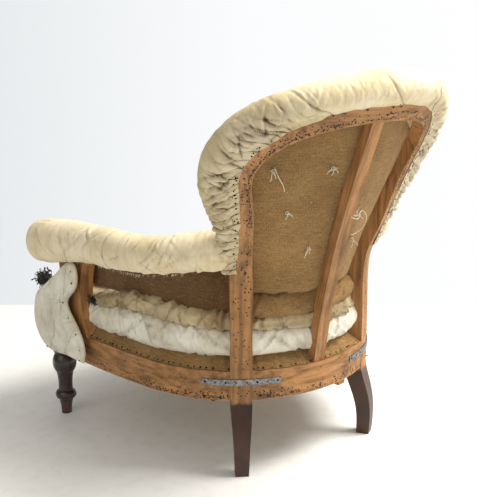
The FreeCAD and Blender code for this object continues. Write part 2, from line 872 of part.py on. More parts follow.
def make_spring_hessian():
    """Hessian over the springs, tacked down to the tops of the rails."""
    rail_top = size("rail_bottom") + size("rail_height")
    thick = size("hessian_thickness")
    outer = dome(thick, rail_top + 0.2, size("hessian_top"))
    inner = dome(0.0, rail_top + 0.2, size("hessian_top") - thick)
    cut("spring_hessian", outer, [inner])
    return outer


def make_seat_layers(hessian_dome):
    """The three stuffed layers of the seat, from the first stuffing to the crown."""
    first = outline_body(None, seat_outline(15.0), size("stuffing_bottom"),
                         f"{SHEET}.stuffing_top - {SHEET}.stuffing_bottom")
    cut("seat_first_stuffing", first, [hessian_dome])
    outline_body("seat_second_stuffing", seat_outline(24.0), size("stuffing_top") + 0.3,
                 f"{SHEET}.second_top - {SHEET}.stuffing_top - 0.3")
    outline_body("seat_crown_pad", seat_outline(92.0, 30.0), size("second_top") + 0.3,
                 f"{SHEET}.crown_top - {SHEET}.second_top - 0.3")


def make_rear_hessian_pad():
    """Hessian-covered roll along the back of the seat, under the back's stuffing."""
    outer = [on_rear_round(angle, 22.0) for angle in (-31, 0, 31)]
    inner = [on_rear_round(angle, 80.0) for angle in (31, 0, -31)]
    curves = [
        arc_edge(outer),
        Part.LineSegment(outer[2], inner[0]),
        arc_edge(inner),
        Part.LineSegment(inner[2], outer[0]),
    ]
    outline_body("seat_rear_pad", curves, size("second_top") + 0.3, "24 mm")


def make_front_border():
    """Stuffed calico border that rolls over the front rail."""
    half = bend_reach(size("corner_y") + 1, 26.0)
    body = new_body("seat_front_border")
    sketch = new_sketch(body, "YZ_Plane", Placement(Vector(0, 0, -half), Rotation()))
    back = size("corner_y") - 0.5
    reach = size("front_overhang")
    bottom = size("rail_bottom") - 2
    top = size("second_top") - 4
    points = [
        Vector(back, bottom, 0),
        Vector(back - reach * 0.75, bottom + 28, 0),
        Vector(back - reach, bottom + 78, 0),
        Vector(back - reach * 0.72, top - 30, 0),
        Vector(back, top, 0),
    ]
    sketch.addGeometry(arc_edge(points[:3]))
    sketch.addGeometry(arc_edge(points[2:]))
    sketch.addGeometry(Part.LineSegment(points[4], points[0]))
    add_pad(body, sketch, f"{2 * half:.2f} mm")


def make_front_facing(side):
    """Stuffed calico facing on the outside of the post's foot and the front corner."""
    body = new_body(f"front_facing_{SIDE_NAMES[side]}")
    offset = 340.0 if side > 0 else -356.0
    sketch = new_sketch(body, "YZ_Plane", Placement(Vector(0, 0, offset), Rotation()))
    points = [
        Vector(-92, 166, 0), Vector(-160, 160, 0), Vector(-246, 160, 0),
        Vector(-288, 214, 0), Vector(-262, 290, 0),
        Vector(-196, 344, 0), Vector(-124, 376, 0),
        Vector(-120, 270, 0),
    ]
    sketch.addGeometry(arc_edge([points[0], points[1], points[2]]))
    sketch.addGeometry(arc_edge([points[2], points[3], points[4]]))
    sketch.addGeometry(arc_edge([points[4], points[5], points[6]]))
    sketch.addGeometry(arc_edge([points[6], points[7], points[0]]))
    add_pad(body, sketch, "16 mm")


def make_horsehair():
    """Tuft of curled hair that has burst out between the facing and the seat's front."""
    tuft = doc.addObject("Part::Ellipsoid", "horsehair_tuft")
    tuft.Radius1 = 14
    tuft.Radius2 = 26
    tuft.Radius3 = 18
    tuft.Placement = Placement(Vector(322, -262 - size("origin_shift"), 330), Rotation())
    keep("horsehair_tuft", tuft)


# ---------------------------------------------------------------- back

# Height, half width and side y of the hessian that is stretched over the front of the frame.
BACK_LEVELS = [
    (392.0, 152.0, 258.0),
    (470.0, 168.0, 281.0),
    (560.0, 188.0, 314.0),
    (650.0, 212.0, 345.0),
    (700.0, 200.0, 380.0),
    (736.0, 128.0, 436.0),
]


def back_sheet(label, gap, depth, shrink):
    """Curved sheet or pad in front of the splat, between the stiles."""
    body = new_body(label)
    sketches = []
    for level, half, side_y in BACK_LEVELS:
        middle = splat_rear(level) - size("splat_depth") - 2 - gap
        near = half - shrink
        near_y = side_y - gap
        outer = [Vector(-near, near_y, 0), Vector(0, middle, 0), Vector(near, near_y, 0)]
        inner = [p - Vector(0, depth, 0) for p in reversed(outer)]
        sketch = new_sketch(body, placement=Placement(Vector(0, 0, level), Rotation()))
        sketch.addGeometry(arc_edge(outer))
        sketch.addGeometry(Part.LineSegment(outer[2], inner[0]))
        sketch.addGeometry(arc_edge(inner))
        sketch.addGeometry(Part.LineSegment(inner[2], outer[0]))
        sketches.append(sketch)
    loft = body.newObject("PartDesign::AdditiveLoft", "Loft")
    loft.Profile = sketches[0]
    loft.Sections = sketches[1:]
    return body


def roll_station(fraction, share):
    """Round section of the stuffed edge that stands out round the back frame."""
    point, along, face, outward = back_axes(fraction)
    radius = size("roll_radius") * share
    centre = point + outward * (size("band_width") / 2 + radius * 0.6) - face * (radius * 0.72)
    return Station(centre, along, outward, (f"{SHEET}.roll_radius * {share:.3f}",))


def make_edge_rolls():
    """Calico-covered roll: a wing on each side, full at its middle, and the crest between them."""
    swell = [(0.095, 0.55), (0.13, 0.78), (0.17, 0.95), (0.21, 1.06), (0.25, 1.12), (0.29, 1.1),
             (0.33, 1.0), (0.36, 0.92)]
    for side in (LEFT, RIGHT):
        stations = [roll_station(fraction, share) for fraction, share in swell]
        loft_body(f"wing_roll_{SIDE_NAMES[side]}", stations, side, circle)
    stations = [roll_station(0.362 + 0.276 * step / 8, 0.91 + 0.09 * (1 - abs(step - 4) / 4))
                for step in range(9)]
    loft_body("crest_roll", stations, LEFT, circle)


# Places x, z of the tufting on the back.
TIE_PLACES = [(56.0, 655.0), (165.0, 655.0), (118.0, 565.0), (-43.0, 548.0), (58.0, 484.0),
              (-58.0, 484.0)]


def make_tufting_ties():
    """Knotted ends of the tufting twine, on the outside of the back's hessian."""
    knots = []
    for x, z in TIE_PLACES:
        knots.append(cylinder(f"{SHEET}.tie_radius", "9 mm",
                              Vector(x, back_surface_y(x, z) + 1.2, z), Vector(0, 1, 0.2)))
    group("tufting_ties", knots)


def back_surface_y(x, z):
    """Rear face of the back's hessian at a place x, z."""
    for low, high in zip(BACK_LEVELS, BACK_LEVELS[1:]):
        if low[0] <= z <= high[0]:
            share = (z - low[0]) / (high[0] - low[0])
            half = low[1] + (high[1] - low[1]) * share
            side_y = low[2] + (high[2] - low[2]) * share
            middle = splat_rear(z) - size("splat_depth") - 2
            sagitta = middle - side_y
            radius = (half ** 2 + sagitta ** 2) / (2 * sagitta)
            return middle - radius + math.sqrt(radius ** 2 - x ** 2)
    raise ValueError("place is off the back's hessian")


# ---------------------------------------------------------------- tacks

def make_rail_tacks():
    """Tacks along the lower edge of the rails, which held the outside cover."""
    heads = []
    level = size("rail_bottom") + 9
    rear_bend, front_bend = side_arcs()
    places = [on_rear_round(angle) for angle in range(-26, 27, 4)]
    for side in (LEFT, RIGHT):
        for index in range(1, 7):
            places.append(mirror(rear_bend.point(index / 7), side))
        for index in range(0, 8):
            places.append(mirror(front_bend.point(index / 14), side))
    centre = Vector(0, size("rear_centre_y"), 0)
    for place in places:
        outward = (place - centre).normalize()
        heads.append(cylinder(f"{SHEET}.tack_radius", f"{SHEET}.tack_height",
                              place + UP * level, outward))
    group("rail_tacks", heads)


def make_frame_tacks():
    """Tacks up the stiles and round the crest, which hold the calico's edge."""
    heads = []
    count = 34
    for index in range(count + 1):
        fraction = 0.03 + 0.94 * index / count
        point, along, face, outward = back_axes(fraction)
        place = point + outward * (size("band_width") / 2 - 7)
        heads.append(cylinder(f"{SHEET}.tack_radius", f"{SHEET}.tack_height", place, face))
    group("frame_tacks", heads)


# ---------------------------------------------------------------- build and write

def build():
    make_rear_rail()
    make_front_rail()
    make_corner_blocks()
    make_under_rail_block()
    for side in (LEFT, RIGHT):
        make_side_rail(side)
        make_rear_leg(side)
        make_back_shoulder(side)
        make_arm_post(side)
        make_arm_pad(side, make_arm_rail(side))
        make_inner_arm(side, "inner_arm_hessian", 44.0, 1.5, 366.0, "62 mm")
        make_inner_arm(side, "inner_arm_pad", 46.0, 30.0, 366.0, "78 mm")
        make_front_leg(side)
        make_front_facing(side)
        make_mending_plate(side)
    make_crest_rail()
    make_splat()
    make_plate_screws()
    make_webbing()
    make_springs()
    make_lashing()
    make_seat_layers(make_spring_hessian())
    make_rear_hessian_pad()
    make_front_border()
    make_horsehair()
    back_sheet("back_hessian", 0.0, size("hessian_thickness"), 0.0)
    back_sheet("back_pad", size("hessian_thickness") + 0.5, size("back_pad_depth"), 6.0)
    make_edge_rolls()
    make_tufting_ties()
    make_rail_tacks()
    make_frame_tacks()


def check():
    """Raises when any object failed to build or any sub-part isn't a sound solid."""
    doc.recompute()
    for item in doc.Objects:
        if "Invalid" in item.State or "Error" in item.State:
            raise RuntimeError(f"{item.Name} ({item.Label}) failed: {item.State}")
    for item in sub_parts:
        if item.Shape.isNull() or not item.Shape.isValid() or not item.Shape.Solids:
            raise RuntimeError(f"{item.Label} has no sound shape")


def write():
    """Writes each sub-part's shape to a STEP file of its own name."""
    os.makedirs("parts", exist_ok=True)
    box = FreeCAD.BoundBox()
    for item in sub_parts:
        item.Shape.exportStep(f"parts/{item.Label}.step")
        box.add(item.Shape.BoundBox)
    print(f"{len(sub_parts)} sub-parts, box {box}")


build()
check()
write()
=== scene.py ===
"""Looks of a low tub armchair with its top covers off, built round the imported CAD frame."""
import math

import bmesh
import bpy
import numpy as np
from bpy.props import FloatProperty, PointerProperty, StringProperty
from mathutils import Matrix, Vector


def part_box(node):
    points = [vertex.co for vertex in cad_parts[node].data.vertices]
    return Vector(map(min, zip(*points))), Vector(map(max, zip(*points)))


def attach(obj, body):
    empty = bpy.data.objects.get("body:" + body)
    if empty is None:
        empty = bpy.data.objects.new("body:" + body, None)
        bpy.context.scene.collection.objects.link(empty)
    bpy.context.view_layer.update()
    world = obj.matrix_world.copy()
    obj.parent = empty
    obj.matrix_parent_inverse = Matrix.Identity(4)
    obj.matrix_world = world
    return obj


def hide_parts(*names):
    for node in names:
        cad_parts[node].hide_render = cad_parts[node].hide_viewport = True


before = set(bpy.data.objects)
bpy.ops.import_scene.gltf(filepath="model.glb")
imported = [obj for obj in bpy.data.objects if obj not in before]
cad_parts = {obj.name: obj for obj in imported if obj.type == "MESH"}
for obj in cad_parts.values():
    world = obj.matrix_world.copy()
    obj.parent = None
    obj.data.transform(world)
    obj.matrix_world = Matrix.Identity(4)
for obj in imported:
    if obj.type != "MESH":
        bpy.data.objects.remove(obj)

bl_info = {
    "name": "Stripped Tub Armchair",
    "version": (1, 0, 0),
    "blender": (4, 5, 0),
    "location": "View3D > Sidebar > Armchair",
    "description": "Upholstery, timber and fixings of a tub armchair with its top covers off",
    "category": "Object",
}

BODY = "root"
LEFT, RIGHT = 1, -1
SIDE_NAMES = {LEFT: "left", RIGHT: "right"}
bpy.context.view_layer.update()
RAIL_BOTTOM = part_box("rear_seat_rail")[0].z
RAIL_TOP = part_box("rear_seat_rail")[1].z
REAR_RADIUS = 0.317                                   # round back of the seat frame
ROUND_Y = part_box("rear_seat_rail")[1].y - REAR_RADIUS  # and its centre
CENTRE_Y = 0.0256                                     # the same centre in the chair's own lines
SETBACK = ROUND_Y - CENTRE_Y                          # how far those lines are moved back
STILE_HEADING = math.radians(32.5)
STILE_HALF = 0.023
BAND_HALF = 0.0215                                    # half the width of the back frame
BAND_DEPTH = 0.028
ROLL_RADIUS = 0.033
CREST_RAKE = math.radians(23.6)
UP = np.array([0.0, 0.0, 1.0])
MIXED = 2                                             # a Mix node's colour result
CALICO_THREAD = 0.0011
HESSIAN_THREAD = 0.0019
CAMERA_PLACE = (1.3676, 1.7757, 1.0279)               # the camera was fitted to the photo
CAMERA_HEADING = math.radians(143.262)
CAMERA_TILT = math.radians(74.805)
CAMERA_LENS = 75.78


# ---------------------------------------------------------------- lines of the chair

def place(x, y, z=0.0):
    """Point of the chair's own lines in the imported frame, in metres."""
    return np.array([x, y + SETBACK, z])


def unit(vectors):
    """Vectors of length one."""
    return vectors / np.linalg.norm(vectors, axis=-1, keepdims=True)


def mirrored(points, side):
    """Points on the chair's left (+1) or their mirror image on the right (-1)."""
    return points * np.array([side, 1.0, 1.0])


class SmoothLine:
    """Cubic curve through points, its parameter running with the length of the chords."""

    def __init__(self, points, first_way=None, last_way=None):
        self.points = np.array(points, float)
        count = len(self.points)
        gaps = np.linalg.norm(np.diff(self.points, axis=0), axis=1)
        self.knots = np.concatenate([[0.0], np.cumsum(gaps)])
        matrix = np.zeros((count, count))
        right = np.zeros((count, 3))
        for i in range(1, count - 1):
            before, after = gaps[i - 1], gaps[i]
            matrix[i, i - 1:i + 2] = after, 2 * (before + after), before
            right[i] = 3 * (after * (self.points[i] - self.points[i - 1]) / before
                            + before * (self.points[i + 1] - self.points[i]) / after)
        for i, way, beside, gap in ((0, first_way, 1, gaps[0]), (-1, last_way, -2, gaps[-1])):
            matrix[i, i] = 1.0
            if way is None:
                matrix[i, beside] = 0.5
                step = self.points[beside] - self.points[i]
                right[i] = 1.5 * step / gap * (1 if i == 0 else -1)
            else:
                right[i] = way
        self.ways = np.linalg.solve(matrix, right)

    def at(self, fractions):
        """Points and unit ways at fractions of the curve's parameter."""
        where = np.clip(np.atleast_1d(fractions), 0, 1) * self.knots[-1]
        index = np.clip(np.searchsorted(self.knots, where, side="right") - 1, 0,
                        len(self.knots) - 2)
        gap = (self.knots[index + 1] - self.knots[index])[:, None]
        share = (where - self.knots[index])[:, None] / gap
        start, end = self.points[index], self.points[index + 1]
        way_in, way_out = self.ways[index] * gap, self.ways[index + 1] * gap
        square, cube = share ** 2, share ** 3
        point = ((2 * cube - 3 * square + 1) * start + (cube - 2 * square + share) * way_in
                 + (3 * square - 2 * cube) * end + (cube - square) * way_out)
        way = ((6 * square - 6 * share) * (start - end)
               + (3 * square - 4 * share + 1) * way_in + (3 * square - 2 * share) * way_out)
        return point, unit(way)


def back_line():
    """Middle of the back frame's rear face, up one side, over the crest and down the other."""
    left = [
        place(REAR_RADIUS * math.sin(STILE_HEADING),
              CENTRE_Y + REAR_RADIUS * math.cos(STILE_HEADING), 0.385),
        place(0.187, 0.313, 0.475),
        place(0.208, 0.346, 0.575),
        place(0.228, 0.373, 0.650),
        place(0.214, 0.412, 0.700),
        place(0.150, 0.470, 0.746),
        place(0.078, 0.492, 0.760),
    ]
    crest = place(0.0, 0.500, 0.764)
    right = [mirrored(p, RIGHT) for p in reversed(left)]
    return SmoothLine(left + [crest] + right, UP, -UP)


BACK = back_line()
ARM = SmoothLine([
    place(0.210, 0.262, 0.482),
    place(0.258, 0.208, 0.472),
    place(0.297, 0.130, 0.458),
    place(0.315, 0.033, 0.454),
    place(0.334, -0.070, 0.449),
    place(0.348, -0.150, 0.436),
    place(0.354, -0.197, 0.430),
])
SPLAT = SmoothLine([
    place(0.0, 0.3396, RAIL_TOP),
    place(0.0, 0.391, 0.470),
    place(0.0, 0.437, 0.607),
    place(0.0, 0.4914, 0.7443),
])


def back_axes(fractions):
    """Points on the back's line with the ways along it, out of its rear face and outwards."""
    fractions = np.atleast_1d(fractions)
    point, along = BACK.at(fractions)
    share = np.minimum(fractions, 1 - fractions) * 2
    blend = (share * share * (3 - 2 * share))[:, None]
    low = np.array([math.sin(STILE_HEADING), math.cos(STILE_HEADING), 0.0])
    side = np.where(fractions <= 0.5, 1.0, -1.0)[:, None]
    low = low * np.concatenate([side, np.ones_like(side), np.ones_like(side)], axis=1)
    high = np.array([0.0, math.cos(CREST_RAKE), -math.sin(CREST_RAKE)])
    face = low * (1 - blend) + high * blend
    face = unit(face - along * np.sum(face * along, axis=1, keepdims=True))
    return point, along, face, np.cross(face, along)


class SeatLine:
    """Outline of the seat frame in plan, from the left front corner round to the right one."""

    def __init__(self):
        half_angle = STILE_HALF / REAR_RADIUS
        heading = STILE_HEADING + half_angle
        shoulder, corner = place(0.288, 0.115), place(0.338, -0.235)
        round_centre = place(0, CENTRE_Y)
        stile = round_centre + REAR_RADIUS * np.array([math.sin(heading), math.cos(heading), 0])
        forward = np.array([math.sin(math.radians(13)), -math.cos(math.radians(13)), 0])
        sideways = np.array([forward[1] * -1, forward[0], 0])
        front = self.arc(corner, shoulder, shoulder, sideways, 40)
        rear = self.arc(shoulder, stile, shoulder, sideways, 30)
        turns = np.linspace(heading, 0, 40)
        back = round_centre + REAR_RADIUS * np.stack(
            [np.sin(turns), np.cos(turns), np.zeros_like(turns)], axis=1)
        left = np.concatenate([front[:-1], rear[:-1], back[:-1]])
        right = mirrored(left[::-1], RIGHT)
        self.points = np.concatenate([left, back[-1:], right])
        gaps = np.linalg.norm(np.diff(self.points, axis=0), axis=1)
        self.runs = np.concatenate([[0.0], np.cumsum(gaps)])
        self.half = self.runs[-1] / 2

    @staticmethod
    def arc(start, end, tangent_point, normal, count):
        """Points of the arc that has its known normal at the tangent point."""
        other = end if np.allclose(start, tangent_point) else start
        chord = other - tangent_point
        radius = chord @ chord / (2 * chord @ normal)
        centre = tangent_point + normal * radius
        first = math.atan2(start[1] - centre[1], start[0] - centre[0])
        last = math.atan2(end[1] - centre[1], end[0] - centre[0])
        last = first + (last - first + math.pi) % (2 * math.pi) - math.pi
        turns = np.linspace(first, last, count)
        ways = np.stack([np.cos(turns), np.sin(turns), np.zeros_like(turns)], axis=1)
        return centre + abs(radius) * ways

    def at(self, runs, inset=0.0):
        """Points and outward ways at runs measured from the middle of the back, left positive."""
        runs = np.atleast_1d(runs)
        where = self.half - runs
        point = np.stack([np.interp(where, self.runs, self.points[:, k]) for k in range(3)], axis=1)
        step = 0.012
        ahead = np.stack([np.interp(where + step, self.runs, self.points[:, k])
                          for k in range(3)], axis=1)
        behind = np.stack([np.interp(where - step, self.runs, self.points[:, k])
                           for k in range(3)], axis=1)
        way = unit(ahead - behind)
        outward = np.stack([way[:, 1], -way[:, 0], np.zeros(len(way))], axis=1)
        return point - outward * np.reshape(inset, (-1, 1)), outward


SEAT = SeatLine()


# ---------------------------------------------------------------- numbers for cloth

def lumps(points, reach, seed):
    """Smooth noise between -1 and 1, with lumps about `reach` metres across."""
    scaled = points / reach
    cell = np.floor(scaled).astype(np.int64)
    part = scaled - cell
    part = part * part * (3 - 2 * part)
    total = np.zeros(points.shape[:-1])
    for corner in range(8):
        offset = np.array([corner & 1, corner >> 1 & 1, corner >> 2 & 1])
        spot = cell + offset
        mixed = spot[..., 0] * 73856093 ^ spot[..., 1] * 19349663 ^ spot[..., 2] * 83492791
        mixed = (mixed ^ seed * 2654435761) & 0xFFFFFF
        mixed = (mixed ^ mixed >> 11) * 1274126177 & 0xFFFFFF
        mixed = (mixed ^ mixed >> 7) * 668265263 & 0xFFFFFF
        weight = np.prod(np.where(offset == 1, part, 1 - part), axis=-1)
        total += weight * (mixed / 0x7FFFFF - 1)
    return total


def creases(points, reach, seed, sharpness=3.0):
    """Noise from 0 to 1 that is low except along thin wandering lines."""
    return (1 - np.abs(lumps(points, reach, seed))) ** sharpness


def flat_field(runs, around, seed=0.0):
    """Cloth places as points for the noise: along, round and a layer."""
    return np.stack([runs, around, np.full_like(runs, seed)], axis=-1)


def folds(runs, around, count, length, width, depth, heading, spread, seed):
    """Heights and shade of separate drag folds: each a sharp valley beside a soft ridge.

    Headings are in the plane of the cloth, 0 along the runs and 90 degrees across them.
    """
    random = np.random.default_rng(abs(seed))
    height, shade = np.zeros(runs.shape), np.ones(runs.shape)
    for _ in range(count):
        row = random.uniform(runs.min(), runs.max())
        across = random.uniform(around.min(), around.max())
        turn = math.radians(heading + random.normal(0, spread))
        half = length * random.uniform(0.3, 0.8)
        wide = width * random.uniform(0.6, 1.5)
        deep = depth * random.uniform(0.35, 1.0)
        bow = random.normal(0, 0.18)
        along = (runs - row) * math.cos(turn) + (around - across) * math.sin(turn)
        aside = (around - across) * math.cos(turn) - (runs - row) * math.sin(turn)
        aside = aside - bow * along ** 2 / half
        taper = np.clip(1 - (along / half) ** 2, 0, 1)
        valley = np.exp(-(aside / wide) ** 2) * taper
        ridge = np.exp(-((aside - 2.3 * wide) / (1.9 * wide)) ** 2) * taper
        height += deep * (0.75 * ridge - valley)
        shade -= 0.75 * deep / depth * np.exp(-(aside / (wide * 0.65)) ** 2) * taper
    return height, np.clip(shade, 0, 1)


def gathers(runs, around, spacing, reach, seed):
    """Puffs between pleats that start at around = 0 and fade out at the reach: 0 to 1."""
    wander = lumps(flat_field(runs * 0.5, around, 3.0), spacing * 2.2, seed) * spacing * 0.55
    uneven = lumps(flat_field(runs, around * 0, 7.0), spacing * 2.7, seed + 1) * 0.6
    phase = (runs + wander) / spacing + uneven
    puff = np.abs(np.sin(math.pi * phase)) ** 0.55
    fade = np.clip(1 - around / reach, 0, 1) ** 0.8
    return puff, fade


def wrinkled(points, heights):
    """Moves a grid of points, closed round its second axis, along its normals by the heights."""
    lengthways = np.gradient(points, axis=0)
    around = np.roll(points, -1, 1) - np.roll(points, 1, 1)
    normals = unit(np.cross(lengthways, around) + 1e-12)
    return points + normals * heights[..., None]


# ---------------------------------------------------------------- meshes

def linear(hex_colour):
    """sRGB hex colour as linear RGBA."""
    parts = [int(hex_colour[i:i + 2], 16) / 255 for i in (1, 3, 5)]
    return tuple(p / 12.92 if p <= 0.04045 else ((p + 0.055) / 1.055) ** 2.4
                 for p in parts) + (1.0,)


def add_object(name, mesh):
    """Puts a mesh into the scene as an object at the origin."""
    item = bpy.data.objects.new(name, mesh)
    bpy.context.scene.collection.objects.link(item)
    return item


def cloth_grid(name, points, wrap_u=False, wrap_v=False, fold=None, caps=False):
    """Mesh of a grid of points, with a UV map in metres and a `fold` attribute (0 in creases) that
    carries the painted crease shade.
    """
    rows, columns = points.shape[:2]
    vertices = points.reshape(-1, 3)
    u_count = rows if wrap_u else rows - 1
    v_count = columns if wrap_v else columns - 1
    i, j = np.meshgrid(np.arange(u_count), np.arange(v_count), indexing="ij")
    i, j = i.ravel(), j.ravel()
    i_next, j_next = (i + 1) % rows, (j + 1) % columns
    quads = np.stack([i * columns + j, i_next * columns + j, i_next * columns + j_next,
                      i * columns + j_next], axis=1)
    u_steps = np.linalg.norm(np.roll(points, -1, 0) - points, axis=2).mean(axis=1)
    v_steps = np.linalg.norm(np.roll(points, -1, 1) - points, axis=2).mean(axis=0)
    u_runs = np.concatenate([[0.0], np.cumsum(u_steps)])
    v_runs = np.concatenate([[0.0], np.cumsum(v_steps)])
    corners = np.stack([
        np.stack([u_runs[i], v_runs[j]], axis=1), np.stack([u_runs[i + 1], v_runs[j]], axis=1),
        np.stack([u_runs[i + 1], v_runs[j + 1]], axis=1),
        np.stack([u_runs[i], v_runs[j + 1]], axis=1),
    ], axis=1).reshape(-1, 2)
    faces = quads.tolist()
    extra = []
    if caps:
        for row, flip in ((0, False), (rows - 1, True)):
            centre = len(vertices) + len(extra)
            extra.append(points[row].mean(axis=0))
            for k in range(columns):
                ring = [row * columns + k, row * columns + (k + 1) % columns]
                faces.append([centre] + (ring[::-1] if flip else ring))
                corners = np.concatenate([corners, np.tile([[u_runs[row], v_runs[k]]], (3, 1))])
    if extra:
        vertices = np.concatenate([vertices, np.array(extra)])
    mesh = bpy.data.meshes.new(name)
    mesh.from_pydata(vertices.tolist(), [], faces)
    layer = mesh.uv_layers.new(name="cloth")
    layer.data.foreach_set("uv", corners.astype(np.float32).ravel())
    shade = np.ones(len(vertices), np.float32)
    if fold is not None:
        shade[:rows * columns] = np.clip(fold, 0, 1).ravel()
    mesh.attributes.new("fold", "FLOAT", "POINT").data.foreach_set("value", shade)
    mesh.polygons.foreach_set("use_smooth", np.ones(len(mesh.polygons), bool))
    mesh.update()
    return add_object(name, mesh)


def turn_outwards(item):
    """Turns every face of a closed piece outwards."""
    work = bmesh.new()
    work.from_mesh(item.data)
    bmesh.ops.remove_doubles(work, verts=work.verts, dist=1e-6)
    bmesh.ops.recalc_face_normals(work, faces=work.faces)
    work.to_mesh(item.data)
    work.free()
    item.data.update()
    return item


def finish_piece(item, material, replaces=()):
    """Gives a piece its material and body, and hides the CAD nodes it stands for."""
    item.data.materials.clear()
    item.data.materials.append(material)
    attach(item, BODY)
    if replaces:
        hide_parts(*replaces)


def dress_node(name, material):
    """Gives a CAD node that stays in view its finished material."""
    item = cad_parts[name]
    item.data.materials.clear()
    item.data.materials.append(material)


# ---------------------------------------------------------------- materials

def wire(tree, item, inputs):
    """Gives a node's inputs their values, or links sockets to them."""
    for key, value in inputs.items():
        if isinstance(key, str):
            socket = next(s for s in item.inputs if s.name == key and s.enabled)
        else:
            socket = item.inputs[key]
        if isinstance(value, bpy.types.NodeSocket):
            tree.links.new(value, socket)
        else:
            socket.default_value = value


def node(tree, kind, inputs=None, **settings):
    """Adds a shader or geometry node, with its settings, values and links."""
    item = tree.nodes.new(kind)
    for key, value in settings.items():
        if key == "stops":
            band = item.color_ramp
            while len(band.elements) < len(value):
                band.elements.new(0.5)
            for element, (spot, colour) in zip(band.elements, value):
                element.position = spot
                element.color = colour
        else:
            setattr(item, key, value)
    wire(tree, item, inputs or {})
    return item


def new_material(name):
    """Material with an empty node tree, its output and its surface shader."""
    material = bpy.data.materials.new(name)
    material.use_nodes = True
    tree = material.node_tree
    tree.nodes.clear()
    surface = node(tree, "ShaderNodeBsdfPrincipled")
    node(tree, "ShaderNodeOutputMaterial", {"Surface": surface.outputs[0]})
    return material, tree, surface


def grey(value):
    """Opaque grey for a ramp."""
    return (value, value, value, 1.0)


def object_space(tree):
    """Place on the chair, in metres."""
    return node(tree, "ShaderNodeTexCoord").outputs["Object"]


def cloth_space(tree):
    """Place on the flat cloth, in metres."""
    return node(tree, "ShaderNodeUVMap", uv_map="cloth").outputs[0]


def scaled(tree, vector, scale):
    """The vector, drawn out or pressed together along its axes."""
    return node(tree, "ShaderNodeMapping", {"Vector": vector, "Scale": scale}).outputs[0]


def noise(tree, vector, scale, detail, roughness=0.5):
    """Noise from 0 to 1."""
    return node(tree, "ShaderNodeTexNoise", {
        "Vector": vector, "Scale": scale, "Detail": detail,
        "Roughness": roughness}).outputs["Fac"]


def ramp(tree, value, stops):
    """Colour picked by a value between the stops."""
    return node(tree, "ShaderNodeValToRGB", {"Fac": value}, stops=stops).outputs[0]


def mix(tree, share, a, b, kind="MIX"):
    """Two colours mixed, by default as paint over paint."""
    return node(tree, "ShaderNodeMix", {"Factor": share, "A": a, "B": b},
                data_type="RGBA", blend_type=kind).outputs[MIXED]


def maths(tree, operation, *values):
    """One operation on numbers."""
    return node(tree, "ShaderNodeMath", dict(enumerate(values)), operation=operation).outputs[0]


def remap(tree, value, start, end, low, high):
    """Moves a value from its range between start and end to one between low and high."""
    return node(tree, "ShaderNodeMapRange", {
        "Value": value, "From Min": start, "From Max": end,
        "To Min": low, "To Max": high}).outputs[0]


def bump(tree, strength, distance, height, under=None):
    """Normals that follow a height, on top of the bump under it."""
    inputs = {"Strength": strength, "Distance": distance, "Height": height}
    if under is not None:
        inputs["Normal"] = under
    return node(tree, "ShaderNodeBump", inputs).outputs[0]


def beech_material(name, grain_turn, fresh, aged, stain_below=None):
    """Raw beech, sawn and left unfinished: dull, straight-grained, freckled with short dark
    flecks, and browned by a century of dust where hands and tacks have been."""
    material, tree, surface = new_material(name)
    spot = object_space(tree)
    # the grain runs along the mapped Z axis
    mapped = node(tree, "ShaderNodeMapping", {"Vector": spot, "Rotation": grain_turn}).outputs[0]
    streaky = scaled(tree, mapped, (1, 1, 0.05))
    rings = noise(tree, streaky, 95.0, 5.0, 0.62)
    fine = noise(tree, streaky, 700.0, 2.0)
    flecks = node(tree, "ShaderNodeTexVoronoi", {
        "Vector": scaled(tree, mapped, (1, 1, 0.22)), "Scale": 520.0,
        "Randomness": 1.0}).outputs["Distance"]
    fleck = ramp(tree, flecks, [(0.08, grey(0.0)), (0.2, grey(1.0))])
    patches = noise(tree, spot, 9.0, 6.0, 0.65)
    grime = noise(tree, spot, 46.0, 5.0, 0.7)
    wood = ramp(tree, rings, [
        (0.28, linear("#6f4826")), (0.44, linear(aged)), (0.6, linear(fresh)),
        (0.78, linear(aged))])
    patchy = ramp(tree, patches, [(0.34, grey(0.62)), (0.5, grey(0.95)), (0.7, grey(1.12))])
    wood = mix(tree, 1.0, wood, patchy, "MULTIPLY")
    dirty = ramp(tree, grime, [(0.28, grey(0.55)), (0.38, grey(0.0))])
    wood = mix(tree, dirty, wood, linear("#5a3c22"))
    wood = mix(tree, fleck, linear("#74492a"), wood)
    roughness = 0.62
    if stain_below is not None:
        height = node(tree, "ShaderNodeSeparateXYZ", {"Vector": spot}).outputs["Z"]
        level = maths(tree, "MULTIPLY_ADD", noise(tree, spot, 120.0, 3.0), 0.01, height)
        above = remap(tree, level, stain_below, stain_below + 0.006, 0.0, 1.0)
        worn = ramp(tree, patches, [
            (0.36, linear("#2a1507")), (0.58, linear("#4d2810")), (0.8, linear("#7a4522"))])
        wood = mix(tree, above, mix(tree, 0.45, worn, fine, "MULTIPLY"), wood)
        roughness = remap(tree, above, 0.0, 1.0, 0.42, 0.62)
    grain = bump(tree, 0.35, 0.0006, fine)
    wire(tree, surface, {"Base Color": wood, "Roughness": roughness,
                         "Normal": bump(tree, 0.4, 0.0012, rings, grain)})
    return material


